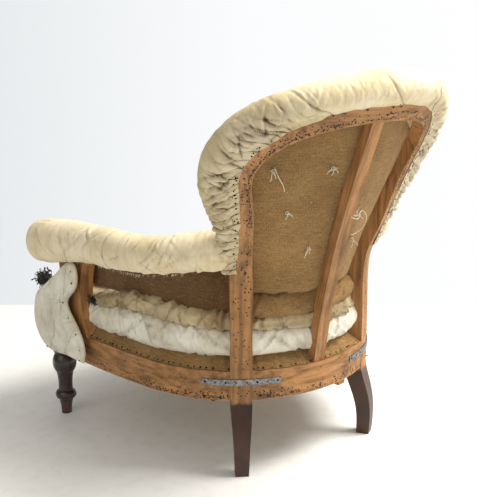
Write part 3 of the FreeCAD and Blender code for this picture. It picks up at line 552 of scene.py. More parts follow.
def stained_material():
    """Turned beech, stained nearly black, French polished and worn brown at the foot."""
    material, tree, surface = new_material("polished_black_stained_beech")
    spot = object_space(tree)
    height = node(tree, "ShaderNodeSeparateXYZ", {"Vector": spot}).outputs["Z"]
    grain = noise(tree, scaled(tree, spot, (1, 1, 0.06)), 240.0, 4.0, 0.6)
    wear = noise(tree, spot, 45.0, 5.0, 0.7)
    foot = remap(tree, height, 0.0, 0.05, 0.26, 0.0)
    worn = ramp(tree, maths(tree, "ADD", wear, foot), [(0.6, grey(0.0)), (0.78, grey(1.0))])
    dark = ramp(tree, grain, [(0.35, linear("#1c0f09")), (0.65, linear("#362014"))])
    wire(tree, surface, {
        "Base Color": mix(tree, worn, dark, linear("#4a2a1c")),
        "Roughness": remap(tree, wear, 0.35, 0.7, 0.24, 0.45),
        "Normal": bump(tree, 0.25, 0.0005, grain),
        "Coat Weight": 0.35, "Coat Roughness": 0.18})
    return material


def calico_material(name, clean, yellowed, crease_shade_and_grime, stains=0.5):
    """Unbleached calico: plain cotton weave with a dry, soft surface, yellowed in patches and
    darkened down in its folds by painted shade with some grime. Threads are drawn 1.1 mm apart so
    that the weave still shows."""
    material, tree, surface = new_material(name)
    spot, cloth = object_space(tree), cloth_space(tree)
    parts = node(tree, "ShaderNodeSeparateXYZ", {"Vector": cloth})
    turn = math.pi / CALICO_THREAD
    warp, weft = (maths(tree, "SINE", maths(tree, "MULTIPLY", parts.outputs[axis], turn))
                  for axis in ("X", "Y"))
    weave = maths(tree, "MULTIPLY", warp, weft)
    slub = noise(tree, scaled(tree, cloth, (1, 0.08, 1)), 420.0, 3.0)
    patches = noise(tree, spot, 7.0, 6.0, 0.62)
    spots = noise(tree, spot, 38.0, 4.0, 0.6)
    base = ramp(tree, patches, [(0.34, linear(yellowed)), (0.56, linear(clean))])
    stain = ramp(tree, spots, [(0.3, grey(stains)), (0.4, grey(0.0))])
    base = mix(tree, stain, base, linear(yellowed))
    fold = node(tree, "ShaderNodeAttribute", attribute_name="fold").outputs["Fac"]
    # painted shade, partly grime: the calico is darkened towards the crease colour where the fold
    # attribute is low
    crease = ramp(tree, fold, [
        (0.0, grey(1.0)), (0.35, grey(0.45)), (0.75, grey(0.14)), (1.0, grey(0.0))])
    base = mix(tree, crease, base, linear(crease_shade_and_grime))
    base = mix(tree, 1.0, base, remap(tree, slub, 0.3, 0.7, 0.93, 1.04), "MULTIPLY")
    soft = bump(tree, 0.45, 0.0009, noise(tree, spot, 260.0, 4.0, 0.6))
    wire(tree, surface, {
        "Base Color": base, "Normal": bump(tree, 0.5, 0.0003, weave, soft), "Roughness": 0.93,
        "Sheen Weight": 0.18, "Sheen Roughness": 0.5, "Specular IOR Level": 0.25})
    return material


def hessian_material(name, light, dark, gap, thread=HESSIAN_THREAD):
    """Jute hessian: coarse, uneven, hairy yarns, with painted shade in the gaps between them and
    pale specks.
    """
    material, tree, surface = new_material(name)
    spot, cloth = object_space(tree), cloth_space(tree)
    wander = node(tree, "ShaderNodeTexNoise", {"Vector": cloth, "Scale": 60.0, "Detail": 2.0})
    bent = mix(tree, 0.0045, cloth, wander.outputs["Color"], "ADD")
    parts = node(tree, "ShaderNodeSeparateXYZ", {"Vector": bent})
    turn = math.pi / thread
    waves = (maths(tree, "SINE", maths(tree, "MULTIPLY", parts.outputs[axis], turn))
             for axis in ("X", "Y"))
    yarns = maths(tree, "MULTIPLY", *(maths(tree, "ABSOLUTE", wave) for wave in waves))
    strand = maths(tree, "MULTIPLY", *(
        noise(tree, scaled(tree, cloth, scale), 560.0, 3.0, 0.6)
        for scale in ((1, 0.25, 1), (0.07, 1, 1))))
    patches = noise(tree, spot, 8.0, 5.0, 0.66)
    tone = ramp(tree, strand, [(0.10, linear(dark)), (0.34, linear(light))])
    patchy = ramp(tree, patches, [(0.32, grey(0.68)), (0.6, grey(1.06))])
    tone = mix(tree, 1.0, tone, patchy, "MULTIPLY")
    # painted shade: the gaps between the yarns are darkened towards the gap colour
    holes = ramp(tree, yarns, [(0.02, grey(0.62)), (0.16, grey(0.0))])
    tone = mix(tree, holes, tone, linear(gap))
    speck = ramp(tree, noise(tree, spot, 420.0, 2.0), [(0.66, grey(0.0)), (0.72, grey(0.6))])
    tone = mix(tree, speck, tone, linear("#e2cfa4"))
    hairy = bump(tree, 0.6, 0.001, strand)
    wire(tree, surface, {
        "Base Color": tone, "Normal": bump(tree, 0.7, 0.0012, yarns, hairy), "Roughness": 0.96,
        "Specular IOR Level": 0.15, "Sheen Weight": 0.1})
    return material


def metal_material(name, colour, tarnish, roughness, metallic=1.0):
    """Drawn or punched steel, gone dull: scratched, with tarnish or rust in patches."""
    material, tree, surface = new_material(name)
    spot = object_space(tree)
    mottle = noise(tree, spot, 170.0, 6.0, 0.7)
    scratch = noise(tree, scaled(tree, spot, (0.1, 0.1, 1)), 900.0, 2.0)
    wire(tree, surface, {
        "Base Color": ramp(tree, mottle, [(0.38, linear(tarnish)), (0.58, linear(colour))]),
        "Roughness": remap(tree, mottle, 0.3, 0.7, roughness + 0.2, roughness),
        "Normal": bump(tree, 0.2, 0.0003, scratch), "Metallic": metallic})
    return material


def fibre_material(name, colour, shade):
    """Spun or curled fibre: matt, streaked along its length."""
    material, tree, surface = new_material(name)
    strand = noise(tree, object_space(tree), 600.0, 3.0)
    wire(tree, surface, {
        "Base Color": ramp(tree, strand, [(0.35, linear(shade)), (0.65, linear(colour))]),
        "Normal": bump(tree, 0.5, 0.0004, strand), "Roughness": 0.85, "Sheen Weight": 0.2})
    return material


def webbing_material():
    """Black and white jute webbing: tight twill yarns with a dark stripe near each edge."""
    material, tree, surface = new_material("herringbone_jute_webbing")
    cloth = cloth_space(tree)
    across = node(tree, "ShaderNodeSeparateXYZ", {"Vector": cloth}).outputs["Y"]
    ribs = node(tree, "ShaderNodeTexWave", {
        "Vector": cloth, "Scale": 150.0, "Distortion": 1.2, "Detail": 2.0},
        bands_direction="DIAGONAL").outputs["Fac"]
    stripe = maths(tree, "COSINE", maths(tree, "MULTIPLY", across, 2 * math.pi / 0.025))
    dark = ramp(tree, stripe, [(0.86, linear("#a98d63")), (0.93, linear("#3c2c1e"))])
    wire(tree, surface, {
        "Base Color": mix(tree, 0.35, dark, ribs, "MULTIPLY"),
        "Normal": bump(tree, 0.6, 0.0008, ribs), "Roughness": 0.92})
    return material


MATERIALS = {}


def make_materials(timber, cloth):
    """Every finish of the chair, made once."""
    quarter = math.pi / 2
    fresh, aged = timber.fresh_colour, timber.aged_colour
    MATERIALS.update({
        "beech_upright": beech_material("raw_beech_upright", (0, 0, 0), fresh, aged),
        "beech_leg": beech_material("raw_beech_stained_foot", (0, 0, 0), fresh, aged,
                                    RAIL_BOTTOM - 0.004),
        "beech_across": beech_material("raw_beech_across", (0, quarter, 0), fresh, aged),
        "beech_along": beech_material("raw_beech_along", (quarter, 0, 0), fresh, aged),
        "beech_splat": beech_material("raw_beech_splat", (0.284, 0, 0), fresh, aged),
        "stained": stained_material(),
        # the last colour of each calico is its painted crease shade, with some grime
        "calico": calico_material("unbleached_calico", cloth.calico_colour, "#d8c698", "#54422a"),
        "white_calico": calico_material("washed_calico", cloth.white_colour, "#cdc4a8", "#5f5338",
                                        stains=0.3),
        "soiled_calico": calico_material("soiled_calico", "#cdbb98", "#a38c64", "#463620"),
        "hessian": hessian_material("jute_hessian", cloth.hessian_colour, "#84633a", "#4a3419"),
        # painted shade: a darker copy of the hessian for the inner arms, where shade falls
        "hessian_shade": hessian_material("shaded_jute_hessian", "#94714a", "#63462a", "#2c1c0e",
                                          thread=0.0017),
        "steel": metal_material("zinced_steel_strip", "#8f9294", "#5d5f60", 0.38),
        "spring": metal_material("coppered_spring_wire", "#8a6a52", "#4a3a30", 0.4),
        "tack": metal_material("blued_cut_tack", "#1c1a1a", "#0d0b0b", 0.42, 0.8),
        # painted shade: near-black discs stand for the shade inside old tack holes
        "hole_shade": fibre_material("tack_hole_shade", "#120b06", "#050302"),
        "twine": fibre_material("cotton_twine", "#efe7d4", "#b8ab8c"),
        "lashing": fibre_material("laid_jute_cord", "#a8875a", "#6d5433"),
        "hair": fibre_material("curled_horsehair", "#1b1c14", "#070806"),
        "webbing": webbing_material(),
    })


# ---------------------------------------------------------------- shared shapes

def ring_frames(path):
    """Sideways and upward ways of a path of points, turning as little as they can."""
    ways = unit(np.gradient(path, axis=0))
    start = UP if abs(ways[0] @ UP) < 0.9 else np.array([1.0, 0.0, 0.0])
    side = unit(np.cross(ways[0], start))
    sides = [side]
    for way in ways[1:]:
        side = unit(side - way * (side @ way))
        sides.append(side)
    sides = np.array(sides)
    return sides, np.cross(sides, ways)


def strands(name, paths, radius, sides=5):
    """One mesh of round strands that follow the paths."""
    vertices, faces = [], []
    turns = np.linspace(0, 2 * math.pi, sides, endpoint=False)
    for path in paths:
        path = np.asarray(path)
        across, up = ring_frames(path)
        first = len(vertices)
        for point, a, b in zip(path, across, up):
            for turn in turns:
                vertices.append(point + radius * (math.cos(turn) * a + math.sin(turn) * b))
        for i in range(len(path) - 1):
            for k in range(sides):
                low, high = first + i * sides, first + (i + 1) * sides
                after = (k + 1) % sides
                faces.append((low + k, low + after, high + after, high + k))
        faces.append(tuple(first + k for k in range(sides))[::-1])
        faces.append(tuple(first + (len(path) - 1) * sides + k for k in range(sides)))
    mesh = bpy.data.meshes.new(name)
    mesh.from_pydata([tuple(v) for v in vertices], [], faces)
    mesh.polygons.foreach_set("use_smooth", np.ones(len(mesh.polygons), bool))
    mesh.update()
    return turn_outwards(add_object(name, mesh))


def loose_ends(roots, ways, length, random, curl=0.5, steps=6):
    """Paths of frayed threads that leave their roots and droop and curl."""
    paths = []
    for root, way in zip(roots, ways):
        reach = length * random.uniform(0.4, 1.3)
        bend = random.normal(size=3) * curl
        point, heading = np.array(root), np.array(way) + random.normal(size=3) * 0.35
        path = [point]
        for _ in range(steps):
            heading = unit(heading + bend / steps + random.normal(size=3) * 0.25
                           - UP * 0.12)
            point = point + heading * reach / steps
            path.append(point)
        paths.append(path)
    return paths


def subdivided(item):
    """Adds one step of subdivision to a piece, the same in view and in a render."""
    modifier = item.modifiers.new("Smooth", "SUBSURF")
    modifier.levels = modifier.render_levels = 1
    return item


def steps_of(points, axis):
    """Distance run along one axis of a grid of points."""
    gaps = np.linalg.norm(np.diff(points, axis=axis), axis=2)
    start = np.zeros_like(gaps[:1]) if axis == 0 else np.zeros_like(gaps[:, :1])
    return np.concatenate([start, np.cumsum(gaps, axis=axis)], axis=axis)


def crumple(points, size, depth, seed):
    """Heights and fold shade of cloth that has been pulled about: long soft creases."""
    bent = points + lumps(points, size * 1.5, seed)[..., None] * size * 0.35
    soft = lumps(bent, size, seed + 11)
    ridge = creases(bent, size * 0.9, seed + 5, 6.0)
    fine = creases(bent, size * 0.45, seed + 9, 5.0)
    height = depth * (0.9 * soft - 0.3 * ridge - 0.3 * fine)
    return height, 1 - 0.25 * ridge ** 2 - 0.2 * fine ** 2


def seat_ring(name, run_limit, inset, half_width, low, high, seed, depth, fold_count=46,
              columns=48, rows=460):
    """Long stuffed roll that follows the seat's outline, its ends rounded off."""
    runs = np.linspace(-run_limit, run_limit, rows)
    ends = np.clip((run_limit - np.abs(runs)) / (half_width * 1.2), 0, 1)
    close = np.sqrt(1 - (1 - ends) ** 2) * 0.97 + 0.03
    middle, outward = SEAT.at(runs, inset)
    bottom = np.interp(np.abs(runs), *low)
    top = np.interp(np.abs(runs), *high)
    turns = np.linspace(0, 2 * math.pi, columns, endpoint=False)
    cosine, sine = np.cos(turns), np.sin(turns)
    flat = np.sign(cosine) * np.abs(cosine) ** 0.8, np.sign(sine) * np.abs(sine) ** 0.72
    half = (top - bottom) / 2
    points = (middle[:, None, :] + outward[:, None, :] * (half_width * close)[:, None, None]
              * flat[0][None, :, None] + UP * (((top + bottom) / 2)[:, None]
              + (half * close)[:, None] * flat[1][None, :])[..., None])
    field = np.stack(np.broadcast_arrays(runs[:, None], (turns * half_width)[None, :],
                                         np.full((1, 1), float(seed))), axis=-1)
    height, shade = crumple(field, 0.055, depth, seed)
    tall = np.broadcast_to((half * 1.0)[:, None] * np.sin(turns)[None, :], field.shape[:2])
    long = np.broadcast_to(runs[:, None], tall.shape)
    for heading, count in ((32.0, fold_count), (-38.0, fold_count), (85.0, fold_count // 2)):
        dip, dark = folds(long, tall, count, 0.080, 0.0021, depth * 0.95, heading, 13.0,
                          seed + count + int(heading))
        height, shade = height + dip, shade * dark
    points = wrinkled(points, height * close[:, None])
    return turn_outwards(cloth_grid(name, points, wrap_v=True, fold=shade, caps=True))


# ---------------------------------------------------------------- settings

class TimberSettings(bpy.types.PropertyGroup):
    """Colours of the raw wood."""
    fresh_colour: StringProperty(
        name="Fresh wood", description="Colour of the cleaner beech, as sRGB hex",
        default="#b98550")
    aged_colour: StringProperty(
        name="Aged wood", description="Colour of the dusty beech, as sRGB hex",
        default="#946839")


class ClothSettings(bpy.types.PropertyGroup):
    """Colours of the cloths, and the pleats of the edge roll."""
    calico_colour: StringProperty(
        name="Calico", description="Colour of the clean calico, as sRGB hex", default="#f0e2c2")
    white_colour: StringProperty(
        name="White calico", description="Colour of the washed calico, as sRGB hex",
        default="#efebdd")
    hessian_colour: StringProperty(
        name="Hessian", description="Colour of the jute hessian, as sRGB hex", default="#bd9761")
    pleat_spacing: FloatProperty(
        name="Pleat spacing", description="Distance between pleats on the wings",
        default=0.021, min=0.005, max=0.1, subtype="DISTANCE", unit="LENGTH")
    pleat_depth: FloatProperty(
        name="Pleat depth", description="Depth of the deepest pleats",
        default=0.0095, min=0.0, max=0.02, subtype="DISTANCE", unit="LENGTH")


class FixingSettings(bpy.types.PropertyGroup):
    """Sizes of the tacks, their holes and the twine."""
    tack_radius: FloatProperty(
        name="Tack head", description="Radius of a tack's head",
        default=0.0021, min=0.0005, max=0.01, subtype="DISTANCE", unit="LENGTH")
    hole_radius: FloatProperty(
        name="Tack hole", description="Radius of an old tack hole",
        default=0.0015, min=0.0003, max=0.01, subtype="DISTANCE", unit="LENGTH")
    twine_radius: FloatProperty(
        name="Twine", description="Radius of the tufting twine",
        default=0.0009, min=0.0003, max=0.005, subtype="DISTANCE", unit="LENGTH")


# ---------------------------------------------------------------- the pieces

class STAGE_OT_studio(bpy.types.Operator):
    """Pale floor, pale surroundings, soft lights and the camera."""
    bl_idname = "armchair.studio"
    bl_label = "Studio"

    def execute(self, context):
        scene = context.scene
        scene.view_settings.view_transform = "Standard"
        heading = CAMERA_HEADING
        right = np.array([math.cos(heading), math.sin(heading), 0.0])
        away = np.array([-math.sin(heading), math.cos(heading), 0.0])
        half_width, near, far = 1.6, 1.6, 0.87
        corners = [right * a * half_width + away * b
                   for a, b in ((-1, -near), (1, -near), (1, far), (-1, far))]
        mesh = bpy.data.meshes.new("floor")
        mesh.from_pydata([tuple(c) for c in corners], [], [(0, 1, 2, 3)])
        floor = add_object("floor", mesh)
        material, tree, surface = new_material("painted_studio_floor")
        wear = noise(tree, object_space(tree), 30.0, 6.0, 0.6)
        tone = ramp(tree, wear, [(0.3, linear("#eceeee")), (0.5, linear("#f4f5f5"))])
        wire(tree, surface, {"Base Color": tone, "Roughness": 0.55})
        mesh.materials.append(material)

        world = bpy.data.worlds.new("pale_surroundings")
        world.use_nodes = True
        scene.world = world
        sky = world.node_tree
        sky.nodes.clear()
        way = node(sky, "ShaderNodeTexCoord").outputs["Generated"]
        aside = node(sky, "ShaderNodeVectorMath", {0: way, 1: tuple(right)},
                     operation="DOT_PRODUCT").outputs["Value"]
        # painted light: the backdrop seen by the camera is painted brighter towards the window
        # light and greyer on the other side
        tone = ramp(sky, remap(sky, aside, -0.3, 0.25, 0.0, 1.0), [
            (0.0, linear("#e2e6e8")), (0.55, linear("#fbfcfd")), (1.0, linear("#ffffff"))])
        seen = node(sky, "ShaderNodeBackground", {"Color": tone, "Strength": 1.0})
        # the room itself is bright towards the window and dim on the other side
        room = remap(sky, aside, -0.8, 0.9, 0.26, 0.90)
        glow = node(sky, "ShaderNodeBackground", {"Color": linear("#f8f4ec"), "Strength": room})
        shine = node(sky, "ShaderNodeMixShader", {
            0: node(sky, "ShaderNodeLightPath").outputs["Is Camera Ray"],
            1: glow.outputs[0], 2: seen.outputs[0]})
        node(sky, "ShaderNodeOutputWorld", {"Surface": shine.outputs[0]})

        for name, place_at, size, power, colour in (
                ("window_light", right * 1.5 + away * 0.1 + UP * 2.6, 1.4, 122.0, "#fffaf2"),
                ("fill_light", right * -1.8 - away * 1.8 + UP * 1.6, 2.0, 14.0, "#f6f4ef")):
            lamp = bpy.data.lights.new(name, "AREA")
            lamp.energy, lamp.size = power, size
            lamp.color = linear(colour)[:3]
            light = bpy.data.objects.new(name, lamp)
            light.location = place_at
            aim = np.array([0.0, 0.0, 0.35]) - place_at
            light.rotation_euler = (
                math.atan2(math.hypot(aim[0], aim[1]), -aim[2]), 0.0,
                math.atan2(-aim[0], aim[1]))
            scene.collection.objects.link(light)

        lens = bpy.data.cameras.new("camera")
        lens.lens, lens.sensor_width = CAMERA_LENS, 36.0
        camera = bpy.data.objects.new("camera", lens)
        camera.location = CAMERA_PLACE
        camera.rotation_euler = (CAMERA_TILT, 0.0, heading)
        scene.collection.objects.link(camera)
        scene.camera = camera
        return {"FINISHED"}


class ARMCHAIR_OT_timber(bpy.types.Operator):
    """Raw beech on the frame's members and black stain on the legs."""
    bl_idname = "armchair.timber"
    bl_label = "Timber"

    def execute(self, context):
        for name in ("rear_seat_rail", "front_seat_rail", "crest_rail"):
            dress_node(name, MATERIALS["beech_across"])
        for name in ("corner_blocks", "under_rail_block"):
            dress_node(name, MATERIALS["beech_upright"])
        dress_node("back_splat", MATERIALS["beech_splat"])
        for side in SIDE_NAMES.values():
            dress_node(f"side_seat_rail_{side}", MATERIALS["beech_along"])
            dress_node(f"arm_rail_{side}", MATERIALS["beech_along"])
            dress_node(f"rear_leg_stile_{side}", MATERIALS["beech_leg"])
            dress_node(f"back_shoulder_{side}", MATERIALS["beech_upright"])
            dress_node(f"arm_post_{side}", MATERIALS["beech_upright"])
            dress_node(f"front_leg_{side}", MATERIALS["stained"])
        return {"FINISHED"}


class ARMCHAIR_OT_ironwork(bpy.types.Operator):
    """Steel strips and screws at the stiles, and the seat's springs with their lashing."""
    bl_idname = "armchair.ironwork"
    bl_label = "Ironwork"

    def execute(self, context):
        for side in SIDE_NAMES.values():
            dress_node(f"mending_plate_{side}", MATERIALS["steel"])
        dress_node("mending_plate_screws", MATERIALS["tack"])
        dress_node("spring_lashing", MATERIALS["lashing"])
        low, high, turns = 0.1645, 0.2815, 6
        waist, swell, wire_radius = 0.026, 0.019, 0.0019
        paths = []
        for y, across in ((-0.128, 0.165), (0.018, 0.160), (0.160, 0.125)):
            for x in (-across, 0.0, across):
                share = np.linspace(0, 1, 145)
                turn = share * 2 * math.pi * turns
                radius = waist + swell * np.abs(2 * share - 1) ** 1.3
                paths.append(place(x, y) + np.stack([
                    radius * np.cos(turn), radius * np.sin(turn),
                    low + (high - low) * share], axis=1))
        springs = strands("waisted_seat_springs", paths, wire_radius, 6)
        finish_piece(springs, MATERIALS["spring"], ["seat_springs"])
        return {"FINISHED"}


def web_strip(start, end, width, level, over, crossings):
    """Grid of one webbing strip that goes over and under the strips it crosses."""
    count = 120
    along = np.linspace(0, 1, count)
    line = start + (end - start) * along[:, None]
    run = np.linalg.norm(line - line[0], axis=1)
    lift = np.zeros(count)
    for index, crossing in enumerate(crossings):
        sign = 1 if (index + over) % 2 else -1
        lift += sign * 0.0014 * np.exp(-((run - crossing) / 0.024) ** 4)
    across = unit(np.cross(UP, end - start))
    widths = np.linspace(-width / 2, width / 2, 9)
    points = line[:, None, :] + across * widths[None, :, None]
    points[..., 2] += level + lift[:, None]
    return points


class ARMCHAIR_OT_webbing(bpy.types.Operator):
    """Jute webbing interlaced under the seat."""
    bl_idname = "armchair.webbing"
    bl_label = "Webbing"

    def execute(self, context):
        xs = np.arange(-0.192, 0.193, 0.096)
        ys = np.arange(-0.150, 0.203, 0.088)
        web_low, web_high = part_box("seat_webbing_lengthwise")
        level = (web_low.z + web_high.z) / 2
        width, front = 0.050, -0.225
        pieces = []
        for number, x in enumerate(xs):
            start = place(x, front)
            reach = REAR_RADIUS - 0.014
            end = place(x, CENTRE_Y + math.sqrt(reach ** 2 - x * x))
            points = web_strip(start, end, width, level, number, ys - front)
            pieces.append(cloth_grid(f"strip_{number}", points))
        for number, y in enumerate(ys):
            lines = SEAT.at(np.linspace(0.02, SEAT.half - 0.02, 300))[0]
            half = np.interp(place(0, y)[1], lines[::-1, 1], lines[::-1, 0]) - 0.016
            points = web_strip(place(-half, y), place(half, y), width, level, number + 1,
                               xs + half)
            pieces.append(cloth_grid(f"cross_{number}", points))
        webbing = join("jute_webbing", pieces)
        solid = webbing.modifiers.new("Thickness", "SOLIDIFY")
        solid.thickness, solid.offset = 0.0016, 0.0
        finish_piece(webbing, MATERIALS["webbing"],
                     ["seat_webbing_lengthwise", "seat_webbing_crosswise"])
        return {"FINISHED"}


def join(name, items):
    """Joins several meshes into one object."""
    bpy.ops.object.select_all(action="DESELECT")
    for item in items:
        item.select_set(True)
    bpy.context.view_layer.objects.active = items[0]
    bpy.ops.object.join()
    joined = bpy.context.view_layer.objects.active
    joined.name = joined.data.name = name
    joined.select_set(False)
    return joined


class ARMCHAIR_OT_seat(bpy.types.Operator):
    """The seat's stuffings: hessian over the springs, calico rolls, a hessian pad and a crown."""
    bl_idname = "armchair.seat"
    bl_label = "Seat"

    def execute(self, context):
        # hessian tacked along the top of the rails and drawn up over the springs
        runs = np.linspace(-SEAT.half + 0.004, SEAT.half - 0.004, 420)
        share = np.concatenate([np.linspace(0, 0.2, 18), np.linspace(0.23, 1, 26)])
        ragged = 0.004 + 0.0035 * lumps(flat_field(runs * 6, runs * 0), 0.05, 4)
        edge, _ = SEAT.at(runs, ragged)
        centre = place(0.0, 0.02, 0.0)
        points = edge[:, None, :] * (1 - share)[None, :, None] + centre * share[None, :, None]
        rise = np.interp(share, [0, 0.06, 0.14, 0.5, 1], [0.0012, 0.012, 0.030, 0.052, 0.064])
        points[..., 2] = RAIL_TOP + rise[None, :]
        height, shade = crumple(points, 0.035, 0.003, 21)
        points[..., 2] += (height * np.clip(share * 14, 0, 1)[None, :] * (1 - share)[None, :])
        points[..., 2] = np.maximum(points[..., 2], RAIL_TOP + 0.0008)
        spring_cover = cloth_grid("hessian_over_springs", points, fold=shade)
        turn_outwards(spring_cover)
        finish_piece(spring_cover, MATERIALS["hessian"], ["spring_hessian"])

        knots = [0.0, 0.19, 0.25, 0.32, 0.40, 0.48, 0.56, 0.70]
        white = seat_ring("white_seat_roll", SEAT.half - 0.012, 0.062, 0.048,
                          (knots, [0.246, 0.247, 0.245, 0.242, 0.240, 0.238, 0.238, 0.238]),
                          (knots, [0.298, 0.311, 0.312, 0.315, 0.318, 0.314, 0.305, 0.299]),
                          3, 0.0056, fold_count=70)
        finish_piece(subdivided(white), MATERIALS["white_calico"],
                     ["seat_first_stuffing"])
        cream = seat_ring("cream_seat_roll", SEAT.half - 0.016, 0.070, 0.051,
                          (knots, [0.289, 0.301, 0.301, 0.304, 0.308, 0.304, 0.296, 0.291]),
                          (knots, [0.330, 0.336, 0.338, 0.343, 0.352, 0.347, 0.326, 0.314]),
                          8, 0.0064, fold_count=70)
        finish_piece(subdivided(cream), MATERIALS["soiled_calico"],
                     ["seat_second_stuffing"])
        rear = seat_ring("rear_hessian_pad", 0.180, 0.054, 0.034,
                         ([0, 0.18], [0.320, 0.322]), ([0, 0.18], [0.384, 0.380]), 15, 0.0035,
                         rows=140, fold_count=8)
        finish_piece(subdivided(rear), MATERIALS["hessian"], ["seat_rear_pad"])

        # crowned calico top
        runs = np.linspace(-SEAT.half + 0.03, SEAT.half - 0.03, 260)
        edge, _ = SEAT.at(runs, 0.075)
        share = np.linspace(0, 1, 60) ** 1.15
        centre = place(0.0, -0.236, 0.0)
        top = edge[:, None, :] * (1 - share)[None, :, None] + centre * share[None, :, None]
        level = np.interp(share, [0, 0.05, 0.15, 0.4, 1], [0.345, 0.362, 0.371, 0.381, 0.385])
        # it slopes down to meet the front border
        front = np.clip((place(0.0, -0.10)[1] - top[..., 1]) / 0.13, 0, 1)
        top[..., 2] = level[None, :] - 0.026 * front ** 2
        height, shade = crumple(top, 0.08, 0.003, 31)
        top[..., 2] += height * (1 - share)[None, :]
        under = top.copy()
        under[..., 2] = 0.318 + 0.027 * (1 - share[None, :])
        both = np.concatenate([under[:, ::-1], top], axis=1)
        crown = cloth_grid("seat_crown", both, wrap_v=True, caps=True,
                           fold=np.concatenate([shade, shade], axis=1))
        finish_piece(turn_outwards(crown), MATERIALS["calico"], ["seat_crown_pad"])
        return {"FINISHED"}


def pillow_from_outline(name, outline, centre, depth, axis, seed, crease_size, crease_depth,
                        rows=260, columns=40):
    """Domed pad on a flat back, its edge following a closed outline of points."""
    line = SmoothLine(np.concatenate([outline, outline[:1]]))
    rim, _ = line.at(np.linspace(0, 1, rows, endpoint=False))
    share = np.linspace(0, 1, columns)
    points = rim[:, None, :] * (1 - share)[None, :, None] + centre * share[None, :, None]
    dome = depth * np.sqrt(1 - (1 - np.clip(share * 3.2, 0, 1)) ** 2)
    height, shade = crumple(points, crease_size, crease_depth, seed)
    for heading, count in ((80.0, 14), (25.0, 8), (-35.0, 8)):
        dip, dark = folds(points[..., 1], points[..., 2], count, 0.085, 0.0022, crease_depth * 0.7,
                          heading, 14.0, seed + count)
        height, shade = height + dip, shade * dark
    front = points + axis * (dome[None, :] + height * np.clip(share * 5, 0, 1)[None, :])[..., None]
    back = points[:, ::-1]
    both = np.concatenate([back, front], axis=1)
    shade = np.concatenate([shade[:, ::-1], shade], axis=1)
    return turn_outwards(cloth_grid(name, both, wrap_u=True, fold=shade))


class ARMCHAIR_OT_front(bpy.types.Operator):
    """The seat's calico front border and the facings that wrap round to the arm posts."""
    bl_idname = "armchair.front"
    bl_label = "Seat front"

    def execute(self, context):
        rows, columns = 240, 56
        across = np.linspace(-0.345, 0.345, rows)
        close = np.clip((0.345 - np.abs(across)) / 0.03, 0, 1)
        close = np.sqrt(1 - (1 - close) ** 2) * 0.95 + 0.05
        turns = np.linspace(0, 2 * math.pi, columns, endpoint=False)
        cosine, sine = np.cos(turns), np.sin(turns)
        depth = np.sign(cosine) * np.abs(cosine) ** 0.85
        tall = np.sign(sine) * np.abs(sine) ** 0.7
        middle = place(0.0, -0.2665, 0.259)
        points = np.zeros((rows, columns, 3))
        points[..., 0] = across[:, None]
        points[..., 1] = middle[1] + 0.031 * close[:, None] * depth[None, :]
        # it falls away towards the corners, where the hair bursts out
        crown = np.interp(np.abs(across), [0, 0.25, 0.30, 0.345], [0.098, 0.093, 0.052, 0.026])
        half = np.where(tall[None, :] > 0, crown[:, None], 0.098)
        points[..., 2] = middle[2] + half * close[:, None] * tall[None, :]
        height, shade = crumple(points, 0.07, 0.004, 41)
        points = wrinkled(points, height * close[:, None])
        border = turn_outwards(cloth_grid("front_border", points, wrap_v=True, fold=shade,
                                          caps=True))
        finish_piece(subdivided(border), MATERIALS["white_calico"],
                     ["seat_front_border"])
        for side, word in SIDE_NAMES.items():
            outline = np.array([mirrored(place(0.341, y, z), side) for y, z in (
                (-0.060, 0.172), (-0.150, 0.166), (-0.230, 0.160), (-0.276, 0.185),
                (-0.288, 0.214), (-0.286, 0.250), (-0.272, 0.286), (-0.238, 0.312),
                (-0.196, 0.340), (-0.150, 0.372), (-0.108, 0.396), (-0.084, 0.392),
                (-0.078, 0.356), (-0.102, 0.324), (-0.126, 0.298), (-0.100, 0.266),
                (-0.068, 0.236), (-0.054, 0.204))])
            centre = mirrored(place(0.341, -0.200, 0.262), side)
            facing = pillow_from_outline(f"front_facing_pad_{word}", outline, centre, 0.015,
                                         np.array([side, 0.0, 0.0]), 51 + side, 0.06, 0.0045)
            finish_piece(facing, MATERIALS["white_calico"],
                         [f"front_facing_{word}"])
        return {"FINISHED"}


